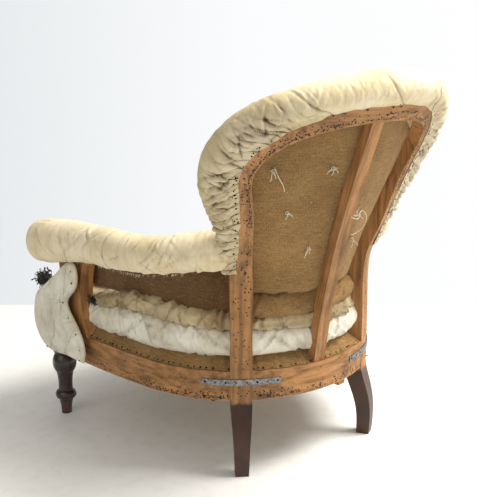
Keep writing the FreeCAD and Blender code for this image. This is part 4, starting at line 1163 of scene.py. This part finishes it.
class ARMCHAIR_OT_arms(bpy.types.Operator):
    """Stuffed calico arm pads, and the hessian and pads inside the arms."""
    bl_idname = "armchair.arms"
    bl_label = "Arms"

    def execute(self, context):
        for side, word in SIDE_NAMES.items():
            self.arm_pad(side, word)
            self.inside(side, word)
        return {"FINISHED"}

    def arm_pad(self, side, word):
        rows, columns = 150, 64
        fractions = np.linspace(0, 1, rows)
        axis, way = ARM.at(fractions)
        radius = np.interp(fractions, [0, 0.18, 0.4, 0.6, 0.8, 0.93, 1.0],
                           [0.042, 0.040, 0.040, 0.0408, 0.0465, 0.050, 0.050])
        tip_runs = np.array([0.006, 0.012, 0.018, 0.023, 0.027, 0.030, 0.032])
        tip_scale = np.array([0.97, 0.92, 0.84, 0.72, 0.55, 0.35, 0.1])
        heel_runs = np.array([0.031, 0.028, 0.023, 0.016, 0.008])
        heel_scale = np.array([0.45, 0.72, 0.86, 0.94, 0.98])
        axis = np.concatenate([axis[0] - way[0] * heel_runs[:, None], axis,
                               axis[-1] + way[-1] * tip_runs[:, None]])
        way = np.concatenate([np.tile(way[0], (len(heel_runs), 1)), way,
                              np.tile(way[-1], (len(tip_runs), 1))])
        radius = np.concatenate([0.042 * heel_scale, radius, 0.050 * tip_scale])
        across = unit(np.cross(way, UP))
        up = np.cross(across, way)
        turns = np.linspace(0, 2 * math.pi, columns, endpoint=False)
        points = axis[:, None, :] + radius[:, None, None] * (
            across[:, None, :] * np.cos(turns)[None, :, None]
            + up[:, None, :] * np.sin(turns)[None, :, None])
        runs = steps_of(axis[:, None, :], 0)
        around = turns[None, :] * 0.042
        field = np.stack(np.broadcast_arrays(runs, around, np.full((1, 1), 2.0)), axis=-1)
        height, shade = crumple(field * np.array([1, 0.7, 1]), 0.075, 0.0032, 61 + side)
        # the underside is drawn in where the cloth is tacked to the rail
        under = np.exp(-((turns - 1.5 * math.pi) / 0.55) ** 2)
        pleat, _ = gathers(runs + around * 0.2, np.zeros_like(runs + around), 0.017, 1.0, 71)
        height = height - under[None, :] * 0.004 * (1 - pleat)
        # gathers where the cloth is drawn in round the stile
        pulled = np.exp(-runs / 0.055)
        ruck, _ = gathers(runs + 0.012 * np.sin(turns)[None, :], around * np.ones_like(runs),
                          0.0125, 9.0, 73)
        height = height + pulled * 0.0052 * (ruck - 0.7)
        shade = shade - 0.9 * pulled * np.clip(0.4 - ruck, 0, 1) / 0.4
        # long soft drags up from the tacked edge
        drag, _ = gathers(runs + around * 0.55, around * np.ones_like(runs), 0.036, 9.0, 75)
        below = np.clip(-np.sin(turns) * 0.9 + 0.35, 0, 1)[None, :]
        height = height + below * 0.0022 * (drag - 0.75)
        spread_runs = np.broadcast_to(runs, height.shape)
        spread_around = np.broadcast_to(around, height.shape)
        for heading, count in ((62.0, 60), (115.0, 50), (20.0, 16)):
            dip, dark = folds(spread_runs, spread_around, count, 0.050, 0.0019, 0.0026, heading,
                              15.0, 77 + count + side)
            height, shade = height + dip, shade * dark
        # a seam round the pad, a third of the way from the front
        seam = np.exp(-((runs - runs[-1, 0] * 0.49) / 0.0028) ** 2)
        height = height - 0.0022 * seam
        shade = shade - 0.5 * seam - 0.3 * under[None, :] * (1 - pleat)
        points = mirrored(wrinkled(points, height), side)
        pad = turn_outwards(cloth_grid(f"arm_pad_calico_{word}", points, wrap_v=True, fold=shade,
                                       caps=True))
        finish_piece(subdivided(pad), MATERIALS["calico"], [f"arm_pad_{word}"])

    def inside(self, side, word):
        runs = np.linspace(0.200, 0.668, 230)
        levels = np.linspace(0.335, 0.452, 50)
        base, outward = SEAT.at(runs, 0.046)
        points = np.repeat(base[:, None, :], len(levels), axis=1)
        points[..., 2] = levels[None, :]
        height, shade = crumple(points, 0.05, 0.0014, 81)
        points = mirrored(points + outward[:, None, :] * height[..., None], side)
        sheet = cloth_grid(f"inner_arm_jute_{word}", points, fold=shade)
        finish_piece(sheet, MATERIALS["hessian_shade"], [f"inner_arm_hessian_{word}"])
        columns = 40
        turns = np.linspace(0, 2 * math.pi, columns, endpoint=False)
        runs = np.linspace(0.200, 0.575, 180)
        middle, outward = SEAT.at(runs, 0.066)
        close = np.clip(np.minimum(runs - 0.200, 0.575 - runs) / 0.02, 0, 1)
        close = np.sqrt(1 - (1 - close) ** 2) * 0.95 + 0.05
        points = (middle[:, None, :]
                  + outward[:, None, :] * (0.0130 * close)[:, None, None]
                  * np.cos(turns)[None, :, None]
                  + UP * (0.405 + 0.040 * close[:, None] * np.sign(np.sin(turns))[None, :]
                          * np.abs(np.sin(turns))[None, :] ** 0.7)[..., None])
        height, shade = crumple(points, 0.06, 0.0025, 91)
        points = mirrored(wrinkled(points, height * close[:, None]), side)
        pad = turn_outwards(cloth_grid(f"inner_arm_stuffing_{word}", points, wrap_v=True,
                                       fold=shade, caps=True))
        finish_piece(subdivided(pad), MATERIALS["calico"], [f"inner_arm_pad_{word}"])


BACK_LEVELS = np.array([
    # height, half width, how far back the sides lie
    (0.392, 0.152, 0.258), (0.470, 0.168, 0.281), (0.560, 0.188, 0.314),
    (0.650, 0.212, 0.345), (0.700, 0.200, 0.380), (0.736, 0.128, 0.436)])
TIE_PLACES = ((0.056, 0.655), (0.165, 0.655), (0.118, 0.565), (-0.043, 0.548), (0.058, 0.484),
              (-0.058, 0.484))


def splat_rear(heights):
    """How far back the splat's rear face is at the given heights."""
    line, _ = SPLAT.at(np.linspace(0, 1, 200))
    return np.interp(heights, line[:, 2], line[:, 1])


def back_sheet_point(x, z):
    """Point of the stretched hessian in the back."""
    half = np.interp(z, BACK_LEVELS[:, 0], BACK_LEVELS[:, 1])
    side_y = np.interp(z, BACK_LEVELS[:, 0], BACK_LEVELS[:, 2]) + SETBACK
    mid_y = splat_rear(z) - 0.024
    share = np.clip(np.abs(x) / half, 0, 1)
    return np.stack(np.broadcast_arrays(x, mid_y + (side_y - mid_y) * share ** 2, z), axis=-1)


class ARMCHAIR_OT_back(bpy.types.Operator):
    """Hessian stretched in the back frame and the stuffed pad in front of it."""
    bl_idname = "armchair.back"
    bl_label = "Back"

    def execute(self, context):
        levels = np.linspace(0.374, 0.742, 150)
        shares = np.linspace(-1, 1, 150)
        half = np.interp(levels, BACK_LEVELS[:, 0], BACK_LEVELS[:, 1])
        points = back_sheet_point(shares[:, None] * half[None, :],
                                  np.broadcast_to(levels[None, :], (150, 150)))
        ragged = lumps(flat_field(shares * 0.4, shares * 0), 0.03, 101) * 0.004
        low = np.exp(-(levels - levels[0]) / 0.02)
        points[..., 2] += ragged[:, None] * low[None, :]
        height, shade = crumple(points, 0.07, 0.0022, 111)
        points[..., 1] += height
        # the bottom edge turns under the pad
        points[..., 1] -= 0.030 * (np.clip(1 - (levels - levels[0]) / 0.022, 0, 1) ** 2)[None, :]
        sheet = cloth_grid("back_jute", points, fold=shade)
        finish_piece(sheet, MATERIALS["hessian"], ["back_hessian"])

        rows, columns = 130, 130
        levels = np.linspace(0.418, 0.738, columns)
        shares = np.linspace(-1, 1, rows)
        half = np.interp(levels, BACK_LEVELS[:, 0], BACK_LEVELS[:, 1]) - 0.006
        rear = back_sheet_point(shares[:, None] * half[None, :],
                                np.broadcast_to(levels[None, :], (rows, columns)))
        rear[..., 1] -= 0.003
        lift = (1 - np.abs(shares) ** 6)[:, None] ** 0.5 * (
            1 - np.abs(np.linspace(-1, 1, columns)) ** 6)[None, :] ** 0.5
        dimple = np.zeros_like(lift)
        for x, z in TIE_PLACES:
            for sign in (1, -1):
                gap = np.hypot(rear[..., 0] - sign * x, rear[..., 2] - z)
                dimple = np.maximum(dimple, np.exp(-(gap / 0.030) ** 1.5))
        height, shade = crumple(rear, 0.07, 0.004, 121)
        front = rear.copy()
        front[..., 1] -= lift * (0.060 - 0.022 * dimple + height)
        both = np.concatenate([rear[:, ::-1], front], axis=1)
        shade = np.concatenate([shade, shade - 0.5 * dimple], axis=1)
        pad = cloth_grid("inside_back_pad", both, wrap_v=True, fold=shade)
        finish_piece(turn_outwards(pad), MATERIALS["calico"], ["back_pad"])
        return {"FINISHED"}


class ARMCHAIR_OT_edge_roll(bpy.types.Operator):
    """The pleated calico roll round the back, from one wing over the crest to the other."""
    bl_idname = "armchair.edge_roll"
    bl_label = "Edge roll"

    def execute(self, context):
        cloth = context.scene.armchair_cloth
        rows = 620
        fractions = np.linspace(0.045, 0.955, rows)
        share = np.minimum(fractions, 1 - fractions)
        radius = ROLL_RADIUS * np.interp(
            share, [0.045, 0.09, 0.13, 0.17, 0.21, 0.25, 0.29, 0.33, 0.36, 0.5],
            [0.32, 0.44, 0.64, 0.86, 1.02, 1.10, 1.08, 1.0, 0.93, 1.0])
        point, _, face, outward = back_axes(fractions)
        # section of the roll: outwards and rearwards from the middle of the frame's rear face
        out_c, rear_c = BAND_HALF + 0.6 * radius, -0.72 * radius
        start, stop = math.radians(137), math.radians(-172)
        arc = np.linspace(0, 1, 46)
        turn = start + (stop - start) * arc
        outs = out_c[:, None] + radius[:, None] * np.cos(turn)[None, :]
        rears = rear_c[:, None] + radius[:, None] * np.sin(turn)[None, :]
        # where it lies over the frame's rear face it stays on top of the wood
        over_frame = (outs < BAND_HALF + 0.002) & (arc < 0.5)
        rears = np.where(over_frame, np.maximum(rears, 0.0024), rears)
        flap, lift = np.linspace(0, 1, 8), 0.0022
        wing = np.clip((0.40 - share) / 0.08, 0.0, 1.0)
        unevenness = lumps(flat_field(fractions * 1.4, fractions * 0), 0.02, 131)
        flap_width = 0.004 + 0.008 * wing + 0.0025 * unevenness
        flap_out = outs[:, :1] - flap_width[:, None] * (1 - flap)[None, :]
        flap_rear = lift + (np.maximum(rears[:, :1], lift) - lift) * flap[None, :] ** 2
        # it turns in round the front of the frame and back along the frame's outer side
        steps = np.linspace(0, 1, 6)[None, 1:]
        edge, front = BAND_HALF + 0.0008, -BAND_DEPTH - 0.001
        wall_out = outs[:, -1:] + (edge - outs[:, -1:]) * steps
        wall_rear = rears[:, -1:] + (front - rears[:, -1:]) * steps
        side_rear = front + (BAND_DEPTH + 0.0005) * steps
        side_rear = np.repeat(side_rear, rows, axis=0)
        side_out = np.full_like(side_rear, edge)
        under_out = edge + (flap_out[:, :1] - edge) * np.linspace(0, 1, 4)[None, 1:]
        under_rear = np.full_like(under_out, 0.0003)
        outs_all = np.concatenate([flap_out[:, :-1], outs, wall_out, side_out, under_out], axis=1)
        rears_all = np.concatenate([flap_rear[:, :-1], rears, wall_rear, side_rear, under_rear],
                                   axis=1)
        points = (point[:, None, :] + outward[:, None, :] * outs_all[..., None]
                  + face[:, None, :] * rears_all[..., None])
        # pleats run from the tacked edge; deep on the wings, slight on the crest
        shown = len(flap) - 1 + len(arc)
        runs = np.concatenate([[0], np.cumsum(np.linalg.norm(np.diff(point, axis=0), axis=1))])
        around = steps_of(points[:, :shown], 1)
        grid_runs = np.repeat(runs[:, None], shown, axis=1)
        lean = grid_runs + around * 0.35 * np.sign(0.5 - fractions)[:, None]
        puff, fade = gathers(lean, around, cloth.pleat_spacing, 0.11, 141)
        field = np.stack([grid_runs, around * 0.8, np.full_like(around, 1.0)], axis=-1)
        soft, shade = crumple(field, 0.036, 0.0050, 151)
        hold = np.clip((around - flap_width[:, None] - 0.004) / 0.016, 0, 1)
        for heading, count, length in ((96.0, 190, 0.070), (62.0, 130, 0.055), (128.0, 130, 0.055),
                                       (10.0, 50, 0.040)):
            dip, dark = folds(grid_runs, around, count, length, 0.0020, 0.0046, heading, 17.0,
                              160 + count + int(heading))
            soft, shade = soft + dip, shade * dark
        strength = (0.15 + 0.85 * wing)[:, None]
        height = hold * strength * (cloth.pleat_depth * fade * (puff - 0.75)) \
            + hold * soft * (0.22 + 0.88 * wing)[:, None]
        # the cloth is drawn smooth again over the outer side of the roll
        calm = np.clip((0.088 - around) / 0.030, 0.22, 1)
        height = height * calm
        shade = 1 - (1 - np.clip(shade, 0, 1)) * (0.22 + 0.78 * wing)[:, None] * calm
        shade = shade - strength * fade * 1.1 * np.clip(0.5 - puff, 0, 1) / 0.5
        # the wings are made darker all over, most of all near the tacks
        shade = shade - wing[:, None] * (0.20 + 0.16 * fade)
        # sewn joins that cross the crest aslant, each with small creases beside it
        for spot, slant in ((0.338, -0.6), (0.406, -0.7), (0.540, -0.8), (0.640, -0.5)):
            middle = np.interp(spot, fractions, runs)
            across = around + 0.010 * np.sin(around * 45.0)
            distance = grid_runs - middle - across * slant
            reach = np.clip(1.3 - around / 0.085, 0, 1)
            seam = np.exp(-(distance / 0.0021) ** 2) * reach
            beside = np.exp(-((distance + 0.020) / 0.014) ** 2) * reach
            ripple = creases(field + float(spot), 0.016, 171, 7.0) * beside
            height = height - 0.0048 * seam - 0.0016 * ripple + 0.0016 * beside
            shade = shade - 0.85 * seam - 0.45 * ripple
        # no fold may sink into the wood under the flap
        over_wood = outs_all[:, :shown] < BAND_HALF + 0.004
        height = np.where(over_wood, np.maximum(height, -0.0006), height)
        full = np.zeros(points.shape[:2])
        full[:, :shown] = height
        ends = np.clip((share - 0.045) / 0.02, 0, 1)
        points = wrinkled(points, full * ends[:, None])
        shades = np.ones(points.shape[:2])
        shades[:, :shown] = shade
        roll = turn_outwards(cloth_grid("edge_roll", points, wrap_v=True, fold=shades, caps=True))
        finish_piece(subdivided(roll), MATERIALS["calico"],
                     ["wing_roll_left", "wing_roll_right", "crest_roll"])
        return {"FINISHED"}


def scatter_mesh(name, places, ways):
    """Loose points, each with the way it faces, for the scattering nodes."""
    mesh = bpy.data.meshes.new(name)
    mesh.from_pydata([tuple(p) for p in places], [], [])
    layer = mesh.attributes.new("facing", "FLOAT_VECTOR", "POINT")
    layer.data.foreach_set("vector", np.asarray(ways, np.float32).ravel())
    return add_object(name, mesh)


def heads_tree(material):
    """Nodes that put a small domed head on every point, facing the way the point says."""
    tree = bpy.data.node_groups.new("tack_heads", "GeometryNodeTree")
    sockets = tree.interface
    sockets.new_socket("Geometry", in_out="INPUT", socket_type="NodeSocketGeometry")
    sockets.new_socket("Head radius", in_out="INPUT", socket_type="NodeSocketFloat")
    sockets.new_socket("Head height", in_out="INPUT", socket_type="NodeSocketFloat")
    sockets.new_socket("Seed", in_out="INPUT", socket_type="NodeSocketInt")
    sockets.new_socket("Geometry", in_out="OUTPUT", socket_type="NodeSocketGeometry")
    given = node(tree, "NodeGroupInput")
    half = node(tree, "ShaderNodeMath", {0: given.outputs["Head radius"], 1: 0.62},
                operation="MULTIPLY").outputs[0]
    head = node(tree, "GeometryNodeMeshCone", {
        "Vertices": 9, "Radius Top": half, "Radius Bottom": given.outputs["Head radius"],
        "Depth": given.outputs["Head height"]}).outputs["Mesh"]
    facing = node(tree, "GeometryNodeInputNamedAttribute", {"Name": "facing"},
                  data_type="FLOAT_VECTOR").outputs[0]
    turned = node(tree, "FunctionNodeAlignRotationToVector", {"Vector": facing}, axis="Z")
    size = node(tree, "FunctionNodeRandomValue", {
        "Min": 0.75, "Max": 1.25, "Seed": given.outputs["Seed"]}, data_type="FLOAT")
    size_out = next(s for s in size.outputs if s.enabled)
    placed = node(tree, "GeometryNodeInstanceOnPoints", {
        "Points": given.outputs["Geometry"], "Instance": head, "Rotation": turned.outputs[0],
        "Scale": size_out}).outputs[0]
    solid = node(tree, "GeometryNodeRealizeInstances", {"Geometry": placed}).outputs[0]
    coated = node(tree, "GeometryNodeSetMaterial", {"Geometry": solid, "Material": material})
    node(tree, "NodeGroupOutput", {"Geometry": coated.outputs[0]})
    return tree


def bake_nodes(item, tree, values):
    """Runs a node tree on an object with the given inputs and keeps the plain mesh."""
    modifier = item.modifiers.new("Nodes", "NODES")
    modifier.node_group = tree
    for socket in tree.interface.items_tree:
        if socket.in_out == "INPUT" and socket.name in values:
            modifier[socket.identifier] = values[socket.name]
    graph = bpy.context.evaluated_depsgraph_get()
    mesh = bpy.data.meshes.new_from_object(item.evaluated_get(graph))
    item.modifiers.clear()
    item.data = mesh
    return item


class ARMCHAIR_OT_tacks(bpy.types.Operator):
    """Tacks and the holes of old tacks along the rails, the stiles and the back frame."""
    bl_idname = "armchair.tacks"
    bl_label = "Tacks"

    def execute(self, context):
        fixings = context.scene.armchair_fixings
        random = np.random.default_rng(7)
        proud = 0.0002
        places, ways = [], []

        def on_rail(runs, heights):
            point, outward = SEAT.at(runs, -proud)
            point[:, 2] = heights
            places.append(point)
            ways.append(outward)

        def on_back(fractions, outs):
            point, _, face, outward = back_axes(fractions)
            places.append(point + outward * outs[:, None] + face * proud)
            ways.append(face)

        def on_stile(side, acrosses, heights):
            heading = side * STILE_HEADING
            out = np.array([math.sin(heading), math.cos(heading), 0.0])
            over = np.array([math.cos(heading), -math.sin(heading), 0.0])
            base = place(0.0, CENTRE_Y) + out * (REAR_RADIUS + proud)
            points = base + over * acrosses[:, None]
            points[:, 2] = heights
            places.append(points)
            ways.append(np.tile(out, (len(heights), 1)))

        limit = SEAT.half - 0.03
        near_stile = np.clip(random.normal(0.25, 0.14, 420), 0.0, limit) \
            * random.choice([-1, 1], 420)
        near_stile = near_stile[np.abs(np.abs(near_stile) - 0.18) > 0.026]
        on_rail(near_stile, RAIL_BOTTOM + np.abs(random.normal(0.0, 0.007, len(near_stile)))
                + 0.003)
        evenly = random.uniform(-limit, limit, 170)
        evenly = evenly[np.abs(np.abs(evenly) - 0.18) > 0.026]
        on_rail(evenly, RAIL_BOTTOM + random.uniform(0.004, 0.020, len(evenly)))
        sparse = random.uniform(-limit, limit, 34)
        sparse = sparse[np.abs(np.abs(sparse) - 0.18) > 0.1]
        on_rail(sparse, random.uniform(RAIL_BOTTOM + 0.012, RAIL_TOP - 0.008, len(sparse)))
        for side in SIDE_NAMES:
            on_stile(side, random.uniform(-0.018, 0.018, 34),
                     random.uniform(RAIL_TOP, 0.384, 34))
            on_stile(side, random.uniform(-0.019, 0.019, 10), random.uniform(0.166, 0.19, 10))
        back_f = random.uniform(0.005, 0.5, 330)
        back_f = np.where(random.random(330) < 0.5, back_f, 1 - back_f)
        on_back(back_f, random.uniform(-0.019, 0.0, 330))
        dense = np.linspace(0.10, 0.90, 210) + random.normal(0, 0.0012, 210)
        on_back(dense, -0.0145 + random.normal(0, 0.0018, 210))
        # painted shade: dark discs where the old tack holes are
        holes = scatter_mesh("old_tack_holes", np.concatenate(places), np.concatenate(ways))
        bake_nodes(holes, heads_tree(MATERIALS["hole_shade"]),
                   {"Head radius": fixings.hole_radius, "Head height": 0.0003, "Seed": 3})
        finish_piece(holes, MATERIALS["hole_shade"], ["rail_tacks"])

        places, ways = [], []
        flap_tacks = np.concatenate([random.uniform(0.06, 0.30, 34), random.uniform(0.70, 0.94, 34),
                                     random.uniform(0.33, 0.67, 9)])
        on_back(flap_tacks, 0.0125 + random.normal(0, 0.0022, len(flap_tacks)))
        places[-1] += ways[-1] * 0.0016
        edge_runs = np.linspace(-limit, limit, 96) + random.normal(0, 0.004, 96)
        point, outward = SEAT.at(edge_runs, 0.0075)
        point[:, 2] = RAIL_TOP + 0.0035
        places.append(point)
        ways.append(unit(outward * 0.5 + UP))
        for side in SIDE_NAMES:
            line = np.array([mirrored(place(0.3480, y, z), side) for y, z in (
                (-0.064, 0.180), (-0.061, 0.205), (-0.076, 0.238), (-0.108, 0.268),
                (-0.131, 0.298), (-0.108, 0.328), (-0.086, 0.354), (-0.088, 0.380),
                (-0.096, 0.174), (-0.132, 0.172), (-0.176, 0.169), (-0.222, 0.167))])
            places.append(line + np.array([side * 0.0035, 0, 0]))
            ways.append(np.tile([side, 0.0, 0.0], (len(line), 1)))
        tacks = scatter_mesh("cut_tacks", np.concatenate(places), np.concatenate(ways))
        bake_nodes(tacks, heads_tree(MATERIALS["tack"]),
                   {"Head radius": fixings.tack_radius, "Head height": 0.0012, "Seed": 5})
        finish_piece(tacks, MATERIALS["tack"], ["frame_tacks"])
        return {"FINISHED"}


class ARMCHAIR_OT_threads(bpy.types.Operator):
    """Tufting twine tied through the back, frayed cloth edges and curled horsehair."""
    bl_idname = "armchair.threads"
    bl_label = "Threads and hair"

    def execute(self, context):
        fixings = context.scene.armchair_fixings
        random = np.random.default_rng(17)
        paths = []
        for x, z in TIE_PLACES:
            root = back_sheet_point(np.array([x]), np.array([z]))[0] + np.array([0, 0.002, 0])
            knot = [root + 0.0035 * np.array([math.cos(t * 2.1), 0.4 + 0.3 * math.sin(t),
                                              math.sin(t * 2.1)]) for t in np.linspace(0, 6, 16)]
            paths.append(knot)
            paths += loose_ends([root + np.array([0, 0.003, 0])] * 4,
                                [random.normal(size=3) * 0.6 + np.array([0, 0.6, -0.3])
                                 for _ in range(4)], 0.018, random)
        start = back_sheet_point(np.array([0.165]), np.array([0.663]))[0]
        end = back_sheet_point(np.array([0.137]), np.array([0.611]))[0]
        share = np.linspace(0, 1, 20)[:, None]
        long_twine = start + (end - start) * share
        long_twine[:, 1] += 0.004 + 0.006 * np.sin(share[:, 0] * math.pi)
        long_twine[:, 0] += 0.003 * np.sin(share[:, 0] * 5)
        paths.append(long_twine)
        # a loose loop of twine lies over the splat's rear face
        loop = SmoothLine(np.array([place(x, y, z) for x, y, z in (
            (0.012, 0.392, 0.560), (-0.004, 0.414, 0.556), (-0.022, 0.416, 0.548),
            (-0.046, 0.402, 0.552), (-0.066, 0.392, 0.545), (-0.078, 0.384, 0.524),
            (-0.066, 0.378, 0.504), (-0.044, 0.378, 0.498))]))
        paths.append(loop.at(np.linspace(0, 1, 40))[0])
        paths.append(loop.at(np.linspace(0.05, 0.42, 20))[0] - UP * 0.006)
        ties = strands("tufting_twine", paths, fixings.twine_radius, 6)
        finish_piece(ties, MATERIALS["twine"], ["tufting_ties"])

        paths = []
        runs = random.uniform(-SEAT.half + 0.03, SEAT.half - 0.03, 240)
        root, outward = SEAT.at(runs, 0.004)
        root[:, 2] = RAIL_TOP + 0.003
        paths += loose_ends(root, outward * 0.6 + UP * 0.1, 0.009, random)
        runs = random.uniform(-SEAT.half + 0.08, SEAT.half - 0.08, 20)
        root, outward = SEAT.at(runs, 0.006)
        root[:, 2] = RAIL_BOTTOM + 0.001
        paths += loose_ends(root, outward * 0.3 - UP, 0.008, random)
        x = random.uniform(-0.14, 0.14, 90)
        root = back_sheet_point(x, np.full(90, 0.396))
        root[:, 1] -= 0.016
        paths += loose_ends(root, np.tile([0, 0.3, -1.0], (90, 1)), 0.012, random)
        # the old cover's selvedge hangs loose beside the left stile
        hem = SmoothLine(np.array([place(x, y, z) for x, y, z in (
            (0.168, 0.322, 0.640), (0.160, 0.328, 0.612), (0.151, 0.330, 0.578),
            (0.145, 0.326, 0.550), (0.149, 0.318, 0.524), (0.156, 0.308, 0.500))]))
        hem_points = hem.at(np.linspace(0, 1, 60))[0]
        for shift in np.linspace(-0.0022, 0.0022, 9):
            paths.append(hem_points + np.array([shift, abs(shift) * 0.6, 0.0]))
        frays = strands("jute_frays", paths, 0.0004, 4)
        finish_piece(frays, MATERIALS["lashing"])

        paths = []
        for side in SIDE_NAMES:
            fractions = random.uniform(0.12, 0.9, 110)
            axis, way = ARM.at(fractions)
            across = unit(np.cross(way, UP))
            root = axis + across * -0.014 - UP * 0.0385
            paths += loose_ends([mirrored(r, side) for r in root],
                                np.tile([0, 0, -1.0], (110, 1)), 0.007, random)
        fractions = random.uniform(0.06, 0.28, 110)
        fractions = np.where(random.random(110) < 0.5, fractions, 1 - fractions)
        point, _, face, outward = back_axes(fractions)
        root = point + outward * 0.008 + face * 0.0015
        paths += loose_ends(root, -outward + face * 0.2, 0.005, random)
        cotton = strands("calico_frays", paths, 0.00035, 4)
        finish_piece(cotton, MATERIALS["twine"])

        hair = curls("horsehair_curls", random)
        finish_piece(hair, MATERIALS["hair"], ["horsehair_tuft"])
        return {"FINISHED"}


def curls(name, random):
    """Tufts of curled hair: short springy coils thrown together."""
    paths = []
    for centre, spread, count in (
            (place(0.330, -0.262, 0.318), np.array([0.014, 0.022, 0.015]), 260),
            (place(0.303, -0.080, 0.306), np.array([0.006, 0.012, 0.008]), 46),
            (place(0.303, -0.086, 0.230), np.array([0.006, 0.007, 0.008]), 30)):
        for _ in range(count):
            middle = centre + random.normal(size=3) * spread * 0.5
            first, second = unit(random.normal(size=3)), unit(random.normal(size=3))
            drift = random.normal(size=3) * 0.005
            turn = np.linspace(0, random.uniform(5, 11), 26)[:, None]
            radius = random.uniform(0.0022, 0.0045)
            paths.append(middle + radius * (first * np.cos(turn) + second * np.sin(turn))
                         + drift * (turn / 8 - 0.5))
    return strands(name, paths, 0.0007, 4)


# ---------------------------------------------------------------- the add-on

class ARMCHAIR_PT_panel(bpy.types.Panel):
    """Lists what the chair is made of."""
    bl_idname = "ARMCHAIR_PT_panel"
    bl_label = "Stripped armchair"
    bl_space_type = "VIEW_3D"
    bl_region_type = "UI"
    bl_category = "Armchair"

    def draw(self, context):
        for group in ("armchair_timber", "armchair_cloth", "armchair_fixings"):
            box = self.layout.box()
            settings = getattr(context.scene, group)
            for name in settings.bl_rna.properties.keys():
                if name not in ("rna_type", "name"):
                    box.prop(settings, name)
        for operator in OPERATORS:
            self.layout.operator(operator.bl_idname)


SETTINGS = {"armchair_timber": TimberSettings, "armchair_cloth": ClothSettings,
            "armchair_fixings": FixingSettings}
OPERATORS = (STAGE_OT_studio, ARMCHAIR_OT_timber, ARMCHAIR_OT_ironwork, ARMCHAIR_OT_webbing,
             ARMCHAIR_OT_seat, ARMCHAIR_OT_front, ARMCHAIR_OT_arms, ARMCHAIR_OT_back,
             ARMCHAIR_OT_edge_roll, ARMCHAIR_OT_tacks, ARMCHAIR_OT_threads)


def register():
    """Adds the settings, the operators and the panel to Blender."""
    for kind in (*SETTINGS.values(), *OPERATORS, ARMCHAIR_PT_panel):
        bpy.utils.register_class(kind)
    for name, kind in SETTINGS.items():
        setattr(bpy.types.Scene, name, PointerProperty(type=kind))


def unregister():
    """Takes them all away again."""
    for name in SETTINGS:
        delattr(bpy.types.Scene, name)
    for kind in (ARMCHAIR_PT_panel, *reversed(OPERATORS), *reversed(SETTINGS.values())):
        bpy.utils.unregister_class(kind)


def main():
    """Builds every piece in order."""
    register()
    scene = bpy.context.scene
    make_materials(scene.armchair_timber, scene.armchair_cloth)
    for operator in OPERATORS:
        family, name = operator.bl_idname.split(".")
        getattr(getattr(bpy.ops, family), name)()


if __name__ == "__main__":
    main()
